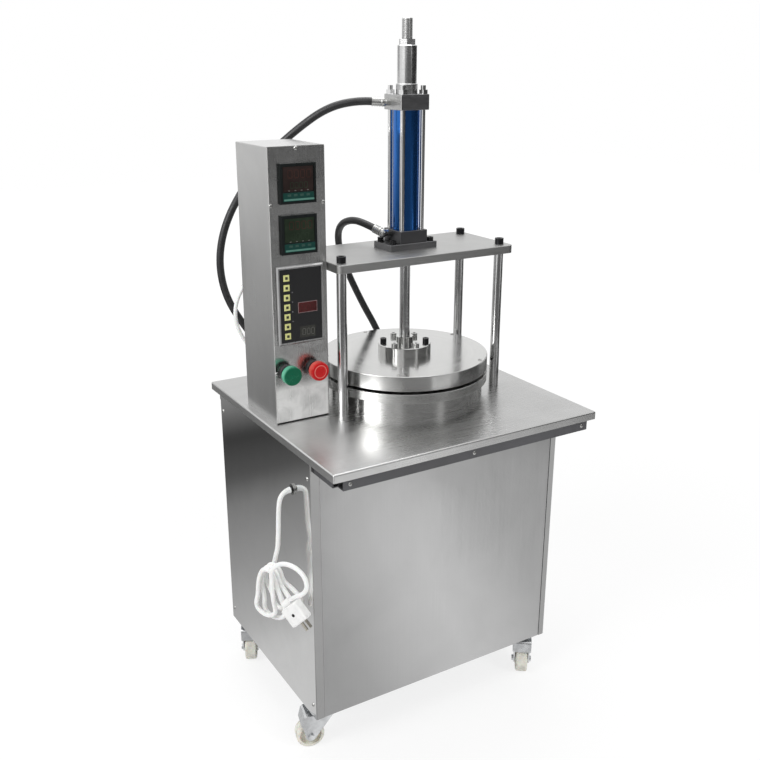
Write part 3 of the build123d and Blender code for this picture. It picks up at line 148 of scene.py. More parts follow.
# Power unit behind the panels: a welded oil tank with a motor and pump on its lid and a valve block beside them.
# The tank is painted blue, the motor grey, and the valve block is phosphated iron.
dress(paint("tank_blue", (0.05, 0.12, 0.26), 0.5, fade=0.2), "oil_tank")
dress(paint("motor_grey", (0.20, 0.22, 0.24), 0.5, fade=0.2), "pump_motor")
dress(paint("phosphated_iron", (0.05, 0.05, 0.055), 0.6, fade=0.3, metallic=0.4), "valve_block")

# Casters: pressed and zinc-plated plates and forks, and off-white nylon wheels on plain axles.
# The plating is a little cloudy, and the treads are soiled by the floor.


def plated_steel(name, colour, roughness):
    """Zinc or nickel plating: cloudy bright metal with fine scuffs."""
    material, tree = blank_material(name)
    clouds = noise(tree, 70, 4.0, 0.6)
    scuffs = noise(tree, (900, 900, 260), shift=(2, 5, 9))
    return surface(material, drifting(tree, clouds, colour, 0.82, 1.09),
                   spread(tree, clouds, roughness + 0.10, roughness - 0.05), (scuffs, 0.12, 0.0002), metallic=1.0)


def worn_skin(name, colour, patch, grain, worn, band, gloss, bump, patch_shift=(0, 0, 0), grain_shift=(0, 0, 0),
              subsurface=0.0):
    """Nylon, rubber or PVC with a fine grain, soiled, chalky or marked in patches."""
    material, tree = blank_material(name)
    patches = noise(tree, patch, 5.0, 0.65, shift=patch_shift)
    fine = noise(tree, grain, 2.0, shift=grain_shift)
    return surface(material, drifting(tree, patches, colour, 1.0, worn, *band), spread(tree, patches, *gloss),
                   (fine, *bump), subsurface=subsurface)


corners = ("front_left", "front_right", "rear_left", "rear_right")
dress(plated_steel("zinc_plate", (0.66, 0.67, 0.68), 0.28), "caster_plates",
      *(f"caster_fork_{corner}" for corner in corners))
dress(worn_skin("nylon_wheel", (0.78, 0.76, 0.68), 60, 700, worn=0.62, band=(0.45, 0.8), gloss=(0.38, 0.6),
                bump=(0.15, 0.0002), grain_shift=(1, 4, 2), subsurface=0.08),
      *(f"caster_wheel_{corner}" for corner in corners))

# Cabinet panels: stainless sheet, folded at the sides' corners and screwed to the posts.
# The front and rear are satin brushed upright with a painted slanting light, and the sides are polished until they
# mirror the room; the right side also has a painted reflection of the room.


def reckon(tree, operation, *values):
    """One step of arithmetic on numbers."""
    return made(tree, "ShaderNodeMath", enumerate(values), operation=operation)


def reckon_vector(tree, operation, *values):
    """One step of arithmetic on vectors, which gives a vector or a number."""
    node = place_node(tree, "ShaderNodeVectorMath", enumerate(values), operation=operation)
    return node.outputs["Value" if operation in ("LENGTH", "DOT_PRODUCT") else "Vector"]


def level_along(tree, direction, start, stop, levels):
    """A grey level that goes through even steps along a direction, between two distances."""
    along = reckon_vector(tree, "DOT_PRODUCT", coordinate(tree), direction)
    ramp = place_node(tree, "ShaderNodeValToRGB", {0: spread(tree, along, 0.0, 1.0, start, stop)})
    stops = ramp.color_ramp.elements
    for place in range(1, len(levels) - 1):
        stops.new(place / (len(levels) - 1))
    for element, level in zip(stops, levels):
        element.color = (level, level, level, 1.0)
    return ramp.outputs[0]


def brushed_steel(name, colour, roughness, stretch, streak=0.10, depth=0.00012, mottle=0.10, mottle_size=5.0,
                  drift=None, dulled=None, metal_grade=None):
    """Brushed stainless sheet: streaks, fine grain and mottles, with drifts of tone and gloss and a graded metal
    level, which can carry painted light and painted reflections.
    """
    material, tree = blank_material(name)
    streaks = noise(tree, stretch, 4.0, 0.6)
    fine = noise(tree, tuple(4 * s for s in stretch), 2.0, 0.5, shift=(5, 2, 8))
    mottles = noise(tree, mottle_size, 5.0, 0.6, 0.6, shift=(1, 9, 3))
    streaked = drifting(tree, streaks, colour, 1 - streak, 1 + streak)
    tone = blend(tree, spread(tree, mottles, 0, 1, 0.42, 0.75), streaked, shaded(colour, 1 - mottle))
    dullness = reckon(tree, "ADD", spread(tree, streaks, roughness - 0.05, roughness + 0.05),
                      spread(tree, mottles, 0.0, 0.08))
    if drift:
        tone = blend(tree, 1.0, tone, level_along(tree, *drift), "MULTIPLY")
    if dulled:
        dullness = reckon(tree, "ADD", dullness, level_along(tree, *dulled))
    return surface(material, tone, dullness, (streaks, 0.25, depth), (fine, 0.15, depth / 2),
                   metallic=level_along(tree, *metal_grade) if metal_grade else 1.0)


# The front and rear sheets have a painted slanting light across them, lighter in the middle.
slanting_light = ((1.0, 0.0, 0.41), -0.19, 0.41, (0.63, 0.69, 0.83, 0.95, 1.0, 0.95, 0.84, 0.74, 0.71))
dress(brushed_steel("front_sheet", (0.55, 0.55, 0.55), 0.33, (420, 420, 5), 0.025, 0.00003, 0.04,
                    drift=slanting_light), "front_panel", "rear_panel")


def mirror_steel(name, colour, roughness, wave, wave_size=7.0, haze=0.08, drift=None):
    """Polished stainless: a slightly wavy mirror with hazy patches and faint scratches."""
    material, tree = blank_material(name)
    waves = noise(tree, (wave_size, wave_size, wave_size * 0.6), 2.0, 0.45, 0.3)
    patches = noise(tree, 12, 5.0, 0.65, 0.5, shift=(4, 1, 6))
    scratches = noise(tree, (60, 60, 1400), 2.0, 0.5, shift=(8, 3, 2))
    tone = drifting(tree, patches, colour, 1.0, 1 - haze, 0.4, 0.75)
    if drift:
        tone = blend(tree, 1.0, tone, level_along(tree, *drift), "MULTIPLY")
    return surface(material, tone, spread(tree, patches, roughness, roughness + haze), (waves, 0.5, wave),
                   (scratches, 0.08, 0.00005), metallic=1.0)


# The left panel is darker on the 2 mm at its front edge.
darker_front_edge = ((0.0, 1.0, 0.0), -0.1895, -0.1875, (0.41, 1.0))
# The right panel's tone is a painted reflection of the room, graded from front to back.
painted_room_reflection = ((0.0, 1.0, 0.0), -0.1895, 0.24, (0.41, 0.47, 0.56, 0.68, 0.80, 0.84, 0.76, 0.64))
for side, side_drift in (("left", darker_front_edge), ("right", painted_room_reflection)):
    dress(mirror_steel(f"polished_{side}", (0.80, 0.80, 0.795), 0.05, 0.0012, haze=0.05, drift=side_drift),
          f"{side}_panel")

# Table: rectangular tubes, painted dark, under one folded stainless sheet with a turned-down hem.
# The sheet is brushed from side to side, darker away from its front left corner, and dull at its left end.
dress(paint("rail_paint", (0.07, 0.07, 0.075), 0.4, fade=0.25), "table_rails")
dulled_end = ((1.0, 0.0, 0.0), -0.22, -0.12, (0.09, 0.0))
darker_past_corner = ((1.0, 0.6, 0.0), -0.34, -0.20, (1.0, 0.77))
dress(brushed_steel("table_sheet", (0.69, 0.69, 0.685), 0.22, (6, 420, 420), 0.05, 0.00006, 0.16,
                    drift=darker_past_corner, dulled=dulled_end), "table_top")

# Case screws: plated pan-head screws with a cross recess, through the panels, the front rail and the control box.
# The platen cover has five of the same kind near its rim.


def add_object(name, data):
    """A new object in the scene."""
    thing = bpy.data.objects.new(name, data)
    bpy.context.scene.collection.objects.link(thing)
    return thing


def run_rule(name, shape_rule, sizes, places, material, body):
    """Sets a rule's shape on every (point, direction) place, as a plain mesh that rides on a body."""
    tree = bpy.data.node_groups.new(name, "GeometryNodeTree")
    for way in ("INPUT", "OUTPUT"):
        tree.interface.new_socket("Geometry", in_out=way, socket_type="NodeSocketGeometry")
    keys = {}
    for size, value in sizes.items():
        kind = "NodeSocketInt" if isinstance(value, int) else "NodeSocketFloat"
        keys[size] = tree.interface.new_socket(size, in_out="INPUT", socket_type=kind).identifier
    group_in = tree.nodes.new("NodeGroupInput")
    shape, turns = shape_rule(tree, group_in.outputs)
    spots = made(tree, "GeometryNodeInstanceOnPoints", {
        "Points": group_in.outputs["Geometry"], "Instance": shape, **turns})
    solid = made(tree, "GeometryNodeRealizeInstances", {"Geometry": spots})
    place_node(tree, "NodeGroupOutput", {"Geometry": solid})
    mesh = bpy.data.meshes.new(name + "_places")
    mesh.from_pydata([place for place, _ in places], [], [])
    facing = mesh.attributes.new("facing", "FLOAT_VECTOR", "POINT")
    facing.data.foreach_set("vector", [c for _, direction in places for c in direction])
    piece = add_object(name, mesh)
    modifier = piece.modifiers.new("rule", "NODES")
    modifier.node_group = tree
    for size, key in keys.items():
        modifier[key] = sizes[size]
    graph = bpy.context.evaluated_depsgraph_get()
    plain = bpy.data.meshes.new_from_object(piece.evaluated_get(graph))
    piece.modifiers.clear()
    piece.data = plain
    plain.materials.clear()
    plain.materials.append(material)
    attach(piece, body)
    return piece


def moved(tree, geometry, **how):
    """Geometry that is moved, turned or scaled."""
    return made(tree, "GeometryNodeTransform", {"Geometry": geometry, **how})


def facing_rotation(tree):
    """Turns an instance's Z to the direction that its point faces."""
    facing = made(tree, "GeometryNodeInputNamedAttribute", {"Name": "facing"}, data_type="FLOAT_VECTOR")
    return made(tree, "FunctionNodeAlignRotationToVector", {"Vector": facing}, axis="Z")


def pan_screw(tree, sizes):
    """A domed screw head with a cross recess."""
    flatness, under, slot, slot_height = 0.55, 0.02, (0.0045, 0.0009, 0.0022), 0.0024
    ball = made(tree, "GeometryNodeMeshUVSphere", {"Segments": 20, "Rings": 12, "Radius": sizes["Head radius"]})
    block = made(tree, "GeometryNodeMeshCube", {"Size": (under, under, under)})
    cuts = [moved(tree, block, Translation=(0.0, 0.0, -under / 2))]
    for turn in (0.0, math.pi / 2):
        bar = made(tree, "GeometryNodeMeshCube", {"Size": slot})
        cuts.append(moved(tree, bar, Translation=(0.0, 0.0, slot_height), Rotation=(0, 0, turn)))
    dome = place_node(tree, "GeometryNodeMeshBoolean", operation="DIFFERENCE")
    tree.links.new(moved(tree, ball, Scale=(1.0, 1.0, flatness)), dome.inputs["Mesh 1"])
    for cut in cuts:
        tree.links.new(cut, dome.inputs["Mesh 2"])
    return dome.outputs["Mesh"], {"Rotation": facing_rotation(tree)}


def islands(bm):
    """The places of the corners of each separate part of a mesh."""
    seen = set()
    for start in bm.verts:
        if start in seen:
            continue
        island, open_ends = [], [start]
        seen.add(start)
        while open_ends:
            vert = open_ends.pop()
            island.append(vert.co.copy())
            for edge in vert.link_edges:
                other = edge.other_vert(vert)
                if other not in seen:
                    seen.add(other)
                    open_ends.append(other)
        yield island


def heads_of(node):
    """Each screw head's seat and outward direction, from a CAD node's separate screws."""
    screw_length, head_height, shank_reach = 0.0082, 0.0022, 0.003
    bm = bmesh.new()
    bm.from_mesh(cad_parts[node].data)
    bmesh.ops.remove_doubles(bm, verts=bm.verts, dist=1e-6)
    seats = []
    for island in islands(bm):
        low, high = (Vector(pick(p[k] for p in island) for k in range(3)) for pick in (min, max))
        middle, size = (low + high) / 2, high - low
        axis = min(range(3), key=lambda k: abs(size[k] - screw_length))
        outward = Vector([1.0 if k == axis else 0.0 for k in range(3)])
        wide = [p - middle for p in island if (p - middle).cross(outward).length > shank_reach]
        if sum(p.dot(outward) for p in wide) <= 0:
            outward.negate()
        seats.append((middle + outward * (size[axis] / 2 - head_height), outward))
    bm.free()
    return seats


screw_plate = plated_steel("screw_plate", (0.50, 0.50, 0.49), 0.25)
for screw_name, screw_node, screw_body in (("case_screw_heads", "case_screws", "stand"),
                                           ("cover_screw_heads", "cover_screws", "ram")):
    heads = run_rule(screw_name, pan_screw, {"Head radius": 0.004}, heads_of(screw_node), screw_plate, screw_body)
    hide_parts(screw_node)

# Control box: a folded stainless shell with a flat front plate, both satin brushed upright.
# The front plate's foot is painted brighter and less metallic as a painted reflection of the table, and a black
# strip along it is painted shadow in the gap to the table.
# Flour dulls and whitens its foot, and a black seal closes the gap to the table.
dress(brushed_steel("box_sheet", (0.58, 0.58, 0.575), 0.30, (420, 420, 6), 0.03, 0.00004), "control_box_shell")
# The plate's foot is painted brighter and less metallic, with large mottles: a painted reflection of the table.
foot_reflection_tone = ((0.0, 0.0, 1.0), 0.725, 0.750, (1.0, 0.6))
foot_reflection_metal = ((0.0, 0.0, 1.0), 0.725, 0.750, (0.45, 1.0))
dress(brushed_steel("box_plate", (0.95, 0.95, 0.94), 0.19, (420, 420, 6), 0.012, 0.00001, 0.40, 24.0, foot_reflection_tone,
                    metal_grade=foot_reflection_metal), "control_box_front")
panel_left, panel_front, panel_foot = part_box("control_box_shell")[0]


def on_panel(across, up, proud):
    """A point on the control box's front, from its left edge and its foot, in millimetres."""
    return Vector((panel_left + across / 1000, panel_front - proud / 1000, panel_foot + up / 1000))


def add_box(bm, low, high):
    """Adds a box between two corners."""
    cube = bmesh.ops.create_cube(bm, size=1.0)["verts"]
    bmesh.ops.scale(bm, vec=high - low, verts=cube)
    bmesh.ops.translate(bm, vec=(low + high) / 2, verts=cube)


def finished_mesh(name, bm, material, body):
    """Turns a bmesh into a piece that rides on a body."""
    bmesh.ops.recalc_face_normals(bm, faces=bm.faces)
    mesh = bpy.data.meshes.new(name)
    bm.to_mesh(mesh)
    bm.free()
    mesh.materials.append(material)
    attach(add_object(name, mesh), body)


def panel_slab(name, spans, material, across=0.0, up=0.0):
    """A slab on the box's front: its left, right, foot, top, back, face and edge radius, in millimetres."""
    left, right, foot, top, back, face, radius = spans
    bm = bmesh.new()
    add_box(bm, on_panel(across + left, up + foot, face), on_panel(across + right, up + top, back))
    bmesh.ops.bevel(bm, geom=bm.edges[:], offset=radius / 1000, segments=3, profile=0.5, affect="EDGES")
    finished_mesh(name, bm, material, "stand")


# A pale strip up the front plate's left edge is a painted highlight.
panel_slab("box_painted_edge_highlight", (0.05, 1.55, 3.0, 521.0, -0.4, 0.15, 0.05),
           brushed_steel("painted_edge_highlight", (0.90, 0.90, 0.89), 0.70, (300, 300, 30), 0.05, 0.00005))
# A black strip along the foot is painted shadow in the gap to the table.
panel_slab("box_foot_painted_shadow", (1.7, 112.3, 0.0, 2.4, -0.4, 0.5, 0.2),
           paint("painted_shadow_black", (0.012, 0.012, 0.012), 0.6, fade=0.3, shine=0.2))

# Temperature controllers: black moulded cases with a dark display window, a row of keys and a green foot strip.
# Each snaps into a square cut-out in the front plate.
dress(paint("controller_case", (0.008, 0.010, 0.010), 0.28, fade=0.3, shine=0.2), "temperature_controllers")


def lit_window(name, colour, glow, strength):
    """A tinted window, or the figures in one, with a faint glow."""
    material, tree = blank_material(name)
    drift = noise(tree, 60)
    feed(tree, tree.nodes["Principled BSDF"], {"Emission Color": (*glow, 1.0), "Emission Strength": strength})
    return surface(material, drifting(tree, drift, colour, 0.7, 1.3), spread(tree, drift, 0.10, 0.18), shine=0.3)


nought_bars = ((0.15, 1.0, 0.85, 1.0), (1.0, 0.55, 1.0, 0.9), (1.0, 0.1, 1.0, 0.45),
               (0.15, 0.0, 0.85, 0.0), (0.0, 0.1, 0.0, 0.45), (0.0, 0.55, 0.0, 0.9))


def noughts(name, count, left, foot, width, height, face, material):
    """A row of segmented noughts as thin raised bars on the control box's front, in millimetres."""
    half, pitch, raised = 0.08 * width, 1.55 * width, 0.25
    bm = bmesh.new()
    for place in range(count):
        start = left + place * pitch
        for x0, z0, x1, z1 in nought_bars:
            add_box(bm, on_panel(start + x0 * width - half, foot + z0 * height - half, face),
                    on_panel(start + x1 * width + half, foot + z1 * height + half, face - raised))
    finished_mesh(name, bm, material, "stand")


red_window = lit_window("red_window", (0.016, 0.011, 0.010), (0.12, 0.03, 0.02), 0.03)
green_window = lit_window("green_window", (0.012, 0.018, 0.011), (0.03, 0.10, 0.03), 0.04)
red_figures = lit_window("red_figures", (0.034, 0.016, 0.013), (0.25, 0.05, 0.03), 0.02)
green_figures = lit_window("green_figures", (0.020, 0.030, 0.019), (0.08, 0.2, 0.08), 0.02)
foot_green = paint("controller_foot", (0.006, 0.042, 0.034), 0.35, fade=0.2, shine=0.2)
key_teal = paint("controller_keys", (0.030, 0.070, 0.058), 0.45, fade=0.2, shine=0.2)
strip_teal = paint("controller_strip", (0.075, 0.20, 0.16), 0.4, fade=0.2)
mark_grey = paint("controller_marks", (0.10, 0.10, 0.09), 0.5)
panel_middle, controller_half, key_pitch = 57.0, 36.0, 12.5
for level, middle, window in (("upper", 456.5, red_window), ("lower", 364.5, green_window)):
    unit, left, foot = f"{level}_controller", panel_middle - controller_half, middle - controller_half
    panel_slab(f"{unit}_glass", (6, 66, 22, 66, 6.1, 6.6, 0.2), window, left, foot)
    noughts(f"{unit}_reading", 4, left + 16, foot + 46, 8.0, 14.0, 6.75, red_figures)
    noughts(f"{unit}_setting", 4, left + 20, foot + 28, 6.0, 10.0, 6.75, green_figures)
    panel_slab(f"{unit}_foot", (5, 67, 4, 20, 6.0, 7.0, 0.4), foot_green, left, foot)
    panel_slab(f"{unit}_strip", (7, 67, 6.0, 9.2, 6.9, 7.4, 0.2), strip_teal, left, foot)
    for mark, spans, colour in (("key", (14, 21, 13.5, 17.5, 6.0, 7.6, 0.6), key_teal),
                                ("lamp", (15.5, 19, 23, 24.4, 6.4, 6.9, 0.2), mark_grey)):
        for place in range(4):
            panel_slab(f"{unit}_{mark}_{place}", spans, colour, left + place * key_pitch, foot)

# Timer: a bevelled metal frame round a black film face, with embossed membrane keys, lamps and two windows.
# The film is glued into the frame's recess, and its keys are flat.


def film_face(name, colour):
    """Printed polyester film: nearly black, with a faint sheen and fine dust."""
    material, tree = blank_material(name)
    dust = noise(tree, 400, 4.0, 0.7)
    drift = noise(tree, 14, shift=(3, 3, 3))
    dusty = blend(tree, spread(tree, dust, 0, 1, 0.6, 0.85), colour, (0.05, 0.05, 0.048))
    return surface(material, dusty, spread(tree, drift, 0.25, 0.42), (drift, 0.2, 0.0005))


dress(brushed_steel("timer_frame", (0.50, 0.50, 0.50), 0.28, (300, 300, 20), 0.06), "keypad_unit")
timer_middle, key_across, top_key, key_step = 232.0, 27.9, 285.8, 18.55
panel_slab("timer_film_face", (-42.8, 42.8, -69.8, 69.8, 4.0, 4.6, 0.25),
           film_face("timer_film", (0.008, 0.008, 0.009)), panel_middle, timer_middle)
panel_slab("timer_screen_rim", (50.2, 90.2, 216.5, 237.3, 4.5, 4.95, 0.2),
           paint("timer_rim", (0.20, 0.13, 0.13), 0.4))
panel_slab("timer_screen", (51.4, 89.0, 217.7, 236.1, 4.8, 5.1, 0.1),
           lit_window("timer_screen", (0.050, 0.012, 0.013), (0.25, 0.02, 0.02), 0.05))
noughts("timer_reading", 4, 55.5, 221.5, 5.6, 11.0, 5.25, red_figures)
panel_slab("timer_window", (53.0, 85.6, 168.0, 190.0, 4.5, 4.75, 0.1),
           paint("timer_dim_window", (0.030, 0.030, 0.026), 0.2))
noughts("timer_count", 3, 58.5, 173.0, 6.0, 12.0, 4.95, mark_grey)


def key_pad(tree, sizes):
    """A low square pad with sloping sides."""
    pad = made(tree, "GeometryNodeMeshCone", {
        "Vertices": 4, "Radius Top": sizes["Top radius"], "Radius Bottom": sizes["Foot radius"],
        "Depth": sizes["Height"]})
    return moved(tree, pad, Rotation=(0, 0, math.pi / 4)), {"Rotation": facing_rotation(tree)}


def dome_lamp(tree, sizes):
    """A small round lamp."""
    return made(tree, "GeometryNodeMeshUVSphere", {"Segments": 12, "Rings": 8, "Radius": sizes["Lamp radius"]}), {}


def on_timer(name, shape_rule, sizes, across, levels, proud, material):
    """Sets a shape at several levels on the timer's face, in millimetres."""
    places = [(on_panel(across, level, proud), (0, -1, 0)) for level in levels]
    run_rule(name, shape_rule, sizes, places, material, "stand")


key_levels = [top_key - key_step * place for place in range(7)]
on_timer("timer_key_pads", key_pad, {"Top radius": 0.0078, "Foot radius": 0.0086, "Height": 0.0008}, key_across,
         key_levels, 4.6, paint("key_yellow", (0.60, 0.60, 0.24), 0.4, fade=0.15))
on_timer("timer_key_marks", key_pad, {"Top radius": 0.0034, "Foot radius": 0.0038, "Height": 0.0008}, key_across,
         key_levels, 5.1, film_face("key_mark", (0.03, 0.03, 0.02)))
on_timer("timer_lamps", dome_lamp, {"Lamp radius": 0.0013}, 39.0, (258.0, 239.4, 220.9, 202.3), 4.7,
         paint("lamp_grey", (0.14, 0.14, 0.15), 0.25))

# Push buttons: black collars screwed through the front plate, a green start button and a red stop button.
# The stop head turns on its stem to release it, and a pale pink ring in the groove of its face is a painted
# highlight.
dress(paint("button_collar", (0.03, 0.03, 0.032), 0.35, fade=0.25), "button_collars", "stop_button_stem")


def button_plastic(name, face_colour, painted_highlight_colour, face, depth):
    """Moulded plastic with a deep-coloured face, a side painted brighter as a painted highlight, and its
    back-facing surfaces painted black as painted shade.
    """
    material, tree = blank_material(name)
    drift = noise(tree, 60, 4.0)
    skin = noise(tree, 900, 2.0, shift=(1, 5, 3))
    # Behind the face the colour turns to the brighter side colour, a painted highlight.
    back = spread(tree, coordinate(tree, 1), 0.0, 1.0, face, face + depth)
    # Surfaces that face back into the plate are painted black: painted shade, so that the plate mirrors a dark
    # underside.
    under = spread(tree, coordinate(tree, 1, "Normal"), 0.0, 1.0, 0.5, 0.8)
    moulded = blend(tree, back, drifting(tree, drift, face_colour, 0.88, 1.1), painted_highlight_colour)
    return surface(material, blend(tree, under, moulded, (0.012, 0.012, 0.012)),
                   spread(tree, drift, 0.22, 0.32), (skin, 0.1, 0.0001), shine=0.3)


groove_floor = panel_front - 0.0322
dress(button_plastic("button_green", (0.0, 0.105, 0.050), (0.10, 0.42, 0.27), groove_floor, 0.004), "start_button")
dress(button_plastic("button_red", (0.50, 0.006, 0.007), (0.70, 0.10, 0.08), groove_floor, 0.006), "stop_button")
ring_radius, ring_bead = 0.0122, 0.0008
ring_middle = (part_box("stop_button")[0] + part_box("stop_button")[1]) / 2
ring_middle.y = groove_floor
ring_shape = bmesh.new()
bead_corners = []
for turn in range(0, 360, 36):
    across, out = ring_bead * math.cos(math.radians(turn)), ring_bead * math.sin(math.radians(turn))
    bead_corners.append(ring_shape.verts.new(ring_middle + Vector((ring_radius + across, out, 0))))
bead_edges = [ring_shape.edges.new((corner, bead_corners[k - 1])) for k, corner in enumerate(bead_corners)]
bmesh.ops.spin(ring_shape, geom=bead_corners + bead_edges, cent=ring_middle, axis=(0, 1, 0), angle=2 * math.pi,
               steps=56, use_merge=True)
bmesh.ops.remove_doubles(ring_shape, verts=ring_shape.verts, dist=1e-6)
# The pink ring is a painted highlight on the groove's edge.
finished_mesh("stop_button_highlight_ring", ring_shape, paint("painted_ring_highlight", (0.72, 0.22, 0.19), 0.3, fade=0.1), "stop_head")

# Press bed: a polished drum on the table, and the heated lower platen that it carries.
# The platen is ground flat, and its heater ring is clamped under it.
bed_middle = (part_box("lower_platen")[0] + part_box("lower_platen")[1]) / 2
dress(mirror_steel("drum_polish", (0.66, 0.66, 0.65), 0.14, 0.0006, 14.0), "lower_platen_drum")
dress(paint("heater_mica", (0.11, 0.10, 0.09), 0.7, fade=0.3), "lower_heater", "upper_heater")


def turned_steel(name, colour, roughness, rings=900.0, centre=(0, 0), depth=0.00006, streak=0.08):
    """Turned or ground round work: fine rings about its axis, with patches of wear."""
    material, tree = blank_material(name)
    offset = reckon_vector(tree, "SUBTRACT", coordinate(tree), (*centre[:2], 0.0))
    radius = reckon_vector(tree, "LENGTH", reckon_vector(tree, "MULTIPLY", offset, (1, 1, 0)))
    polar = made(tree, "ShaderNodeCombineXYZ", {0: radius, 2: coordinate(tree, 2)})
    ring = made(tree, "ShaderNodeTexNoise", {"Vector": polar, "Scale": rings, "Detail": 3.0, "Roughness": 0.6})
    wear = noise(tree, 22, 4.0, 0.6, shift=(6, 2, 4))
    dullness = reckon(tree, "ADD", spread(tree, ring, roughness - 0.04, roughness + 0.05),
                      spread(tree, wear, 0.0, 0.06))
    return surface(material, drifting(tree, ring, colour, 1 - streak, 1 + streak), dullness, (ring, 0.3, depth),
                   metallic=1.0)


dress(turned_steel("platen_face", (0.60, 0.60, 0.59), 0.24, centre=bed_middle), "lower_platen")

# Press frame: four ground and chromed columns, bolted to the beams below and to a thick ground plate above.
# The socket bolts are blackened.
dress(turned_steel("column_chrome", (0.70, 0.70, 0.70), 0.10, 500.0), "columns")
dress(paint("black_oxide", (0.016, 0.016, 0.018), 0.38, peel=140.0, fade=0.3, metallic=0.6), "column_bolts",
      "flange_bolts")
dress(brushed_steel("plate_ground", (0.42, 0.42, 0.415), 0.40, (9, 300, 300), 0.06, 0.00006), "top_plate")

# Ram: the upper platen in its polished pan, and the turned hub that joins it to the chromed piston rod.
# The rod's top is threaded, and a hexagon nut on it sets how far the press closes.
dress(turned_steel("platen_alloy", (0.62, 0.62, 0.61), 0.3, centre=bed_middle), "upper_platen")
dress(turned_steel("pan_polish", (0.63, 0.63, 0.62), 0.16, 500.0, bed_middle, 0.00004, 0.05), "upper_platen_cover")
dress(turned_steel("hub_turned", (0.64, 0.64, 0.63), 0.11, 700.0, bed_middle, 0.00002), "ram_hub")


def lit_and_shaded_screws(name, centre, across, reach):
    """Socket screws of one steel: painted black as painted shade where they lie far out to either side of the hub,
    and bright steel between.
    """
    material, tree = blank_material(name)
    offset = reckon_vector(tree, "SUBTRACT", coordinate(tree), centre)
    aside = reckon(tree, "ABSOLUTE", reckon_vector(tree, "DOT_PRODUCT", offset, across))
    in_painted_shade = reckon(tree, "GREATER_THAN", aside, reach)
    wear = noise(tree, 180, 4.0, 0.6)
    worn = spread(tree, wear, 0, 1)
    bright = blend(tree, worn, (0.55, 0.55, 0.54), (0.72, 0.72, 0.71))
    # The black copy is painted shade on the same steel screws.
    black = blend(tree, worn, (0.010, 0.010, 0.011), (0.022, 0.022, 0.024))
    return surface(material, blend(tree, in_painted_shade, bright, black), spread(tree, wear, 0.14, 0.26),
                   (wear, 0.1, 0.0001), metallic=spread(tree, in_painted_shade, 1.0, 0.5, 0.0, 1.0))


dress(lit_and_shaded_screws("hub_screw_steel", bed_middle, across=(0.866, -0.5, 0.0), reach=0.033), "hub_screws")
dress(turned_steel("rod_chrome", (0.66, 0.66, 0.66), 0.11, 2600.0, bed_middle, 0.00001), "piston_rod")
dress(plated_steel("nut_plate", (0.58, 0.58, 0.58), 0.26), "stop_nut")


def swept_ring(tree, radius, bead, steps):
    """A ring of round wire, from its radius, its wire's radius and how many steps each is drawn in."""
    path, wire = (made(tree, "GeometryNodeCurvePrimitiveCircle", {"Resolution": count, "Radius": size})
                  for count, size in zip(steps, (radius, bead)))
    return made(tree, "GeometryNodeCurveToMesh", {"Curve": path, "Profile Curve": wire})


def rod_ridges(tree, sizes):
    """Ridges along a rod: one ring on every point of an upright line."""
    pitch = made(tree, "ShaderNodeCombineXYZ", {2: sizes["Pitch"]})
    line = made(tree, "GeometryNodeMeshLine", {"Count": sizes["Ridge count"], "Offset": pitch}, mode="OFFSET")
    ring = swept_ring(tree, sizes["Thread radius"], sizes["Ridge radius"], (40, 6))
    return made(tree, "GeometryNodeInstanceOnPoints", {"Points": line, "Instance": ring}), {}


thread_gap = 0.0012
thread_foot = Vector((bed_middle.x, bed_middle.y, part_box("stop_nut")[1].z + thread_gap))
thread = run_rule("rod_thread", rod_ridges,
                  {"Thread radius": 0.0099, "Ridge radius": 0.0005, "Pitch": 0.0015, "Ridge count": 24},
                  [(thread_foot, (0, 0, 1))],
                  turned_steel("thread_steel", (0.40, 0.40, 0.395), 0.24, 2600.0, bed_middle, 0.00001), "ram")

# Hydraulic cylinder: a blue enamelled tube between two dark painted heads, drawn together by chromed tie rods.
# A flange plate bolts it to the top plate, and a gland and a chromed stop sleeve close its top.
for part, grey in (("cylinder_flange", 0.17), ("lower_cylinder_head", 0.10)):
    dress(paint(part + "_paint", (grey, grey, grey + 0.005), 0.32, peel=60.0, peel_depth=0.00005, metallic=0.92),
          part)


def lit_left_head(name, painted, lit_left):
    """Grey painted steel with its left face, where the hose port is, painted lighter as painted light."""
    material, tree = blank_material(name)
    # Faces that point left take a lighter colour: painted light on the paint, not bare metal.
    lit_left_mask = spread(tree, coordinate(tree, 0, "Normal"), 1.0, 0.0, -0.9, -0.5)
    grain = noise(tree, (60, 60, 200), 4.0)
    coat, metal = (drifting(tree, grain, colour, 0.9, 1.1) for colour in (painted, lit_left))
    return surface(material, blend(tree, lit_left_mask, coat, metal), spread(tree, grain, 0.30, 0.40),
                   (grain, 0.1, 0.0001), metallic=0.92)


dress(lit_left_head("head_lit_left", (0.17, 0.17, 0.175), (0.55, 0.55, 0.545)), "upper_cylinder_head")
dress(paint("tube_blue", (0.030, 0.145, 0.46), 0.11, peel=40.0, peel_depth=0.00003, fade=0.06, metallic=0.95),
      "cylinder_tube")
dress(turned_steel("tie_chrome", (0.72, 0.72, 0.72), 0.08, 500.0, depth=0.00002), "tie_rods")
dress(turned_steel("gland_steel", (0.50, 0.50, 0.50), 0.22, 2600.0, bed_middle, 0.00001), "rod_gland")
dress(turned_steel("sleeve_chrome", (0.62, 0.62, 0.62), 0.14, 2600.0, bed_middle, 0.00001), "stop_sleeve")

# Hydraulic hoses: black rubber with a wrapped skin, chalky in places, crimped into plated ferrules at both ends.
# The long one bows out behind the control box, and both go down through rubber grommets in the table.


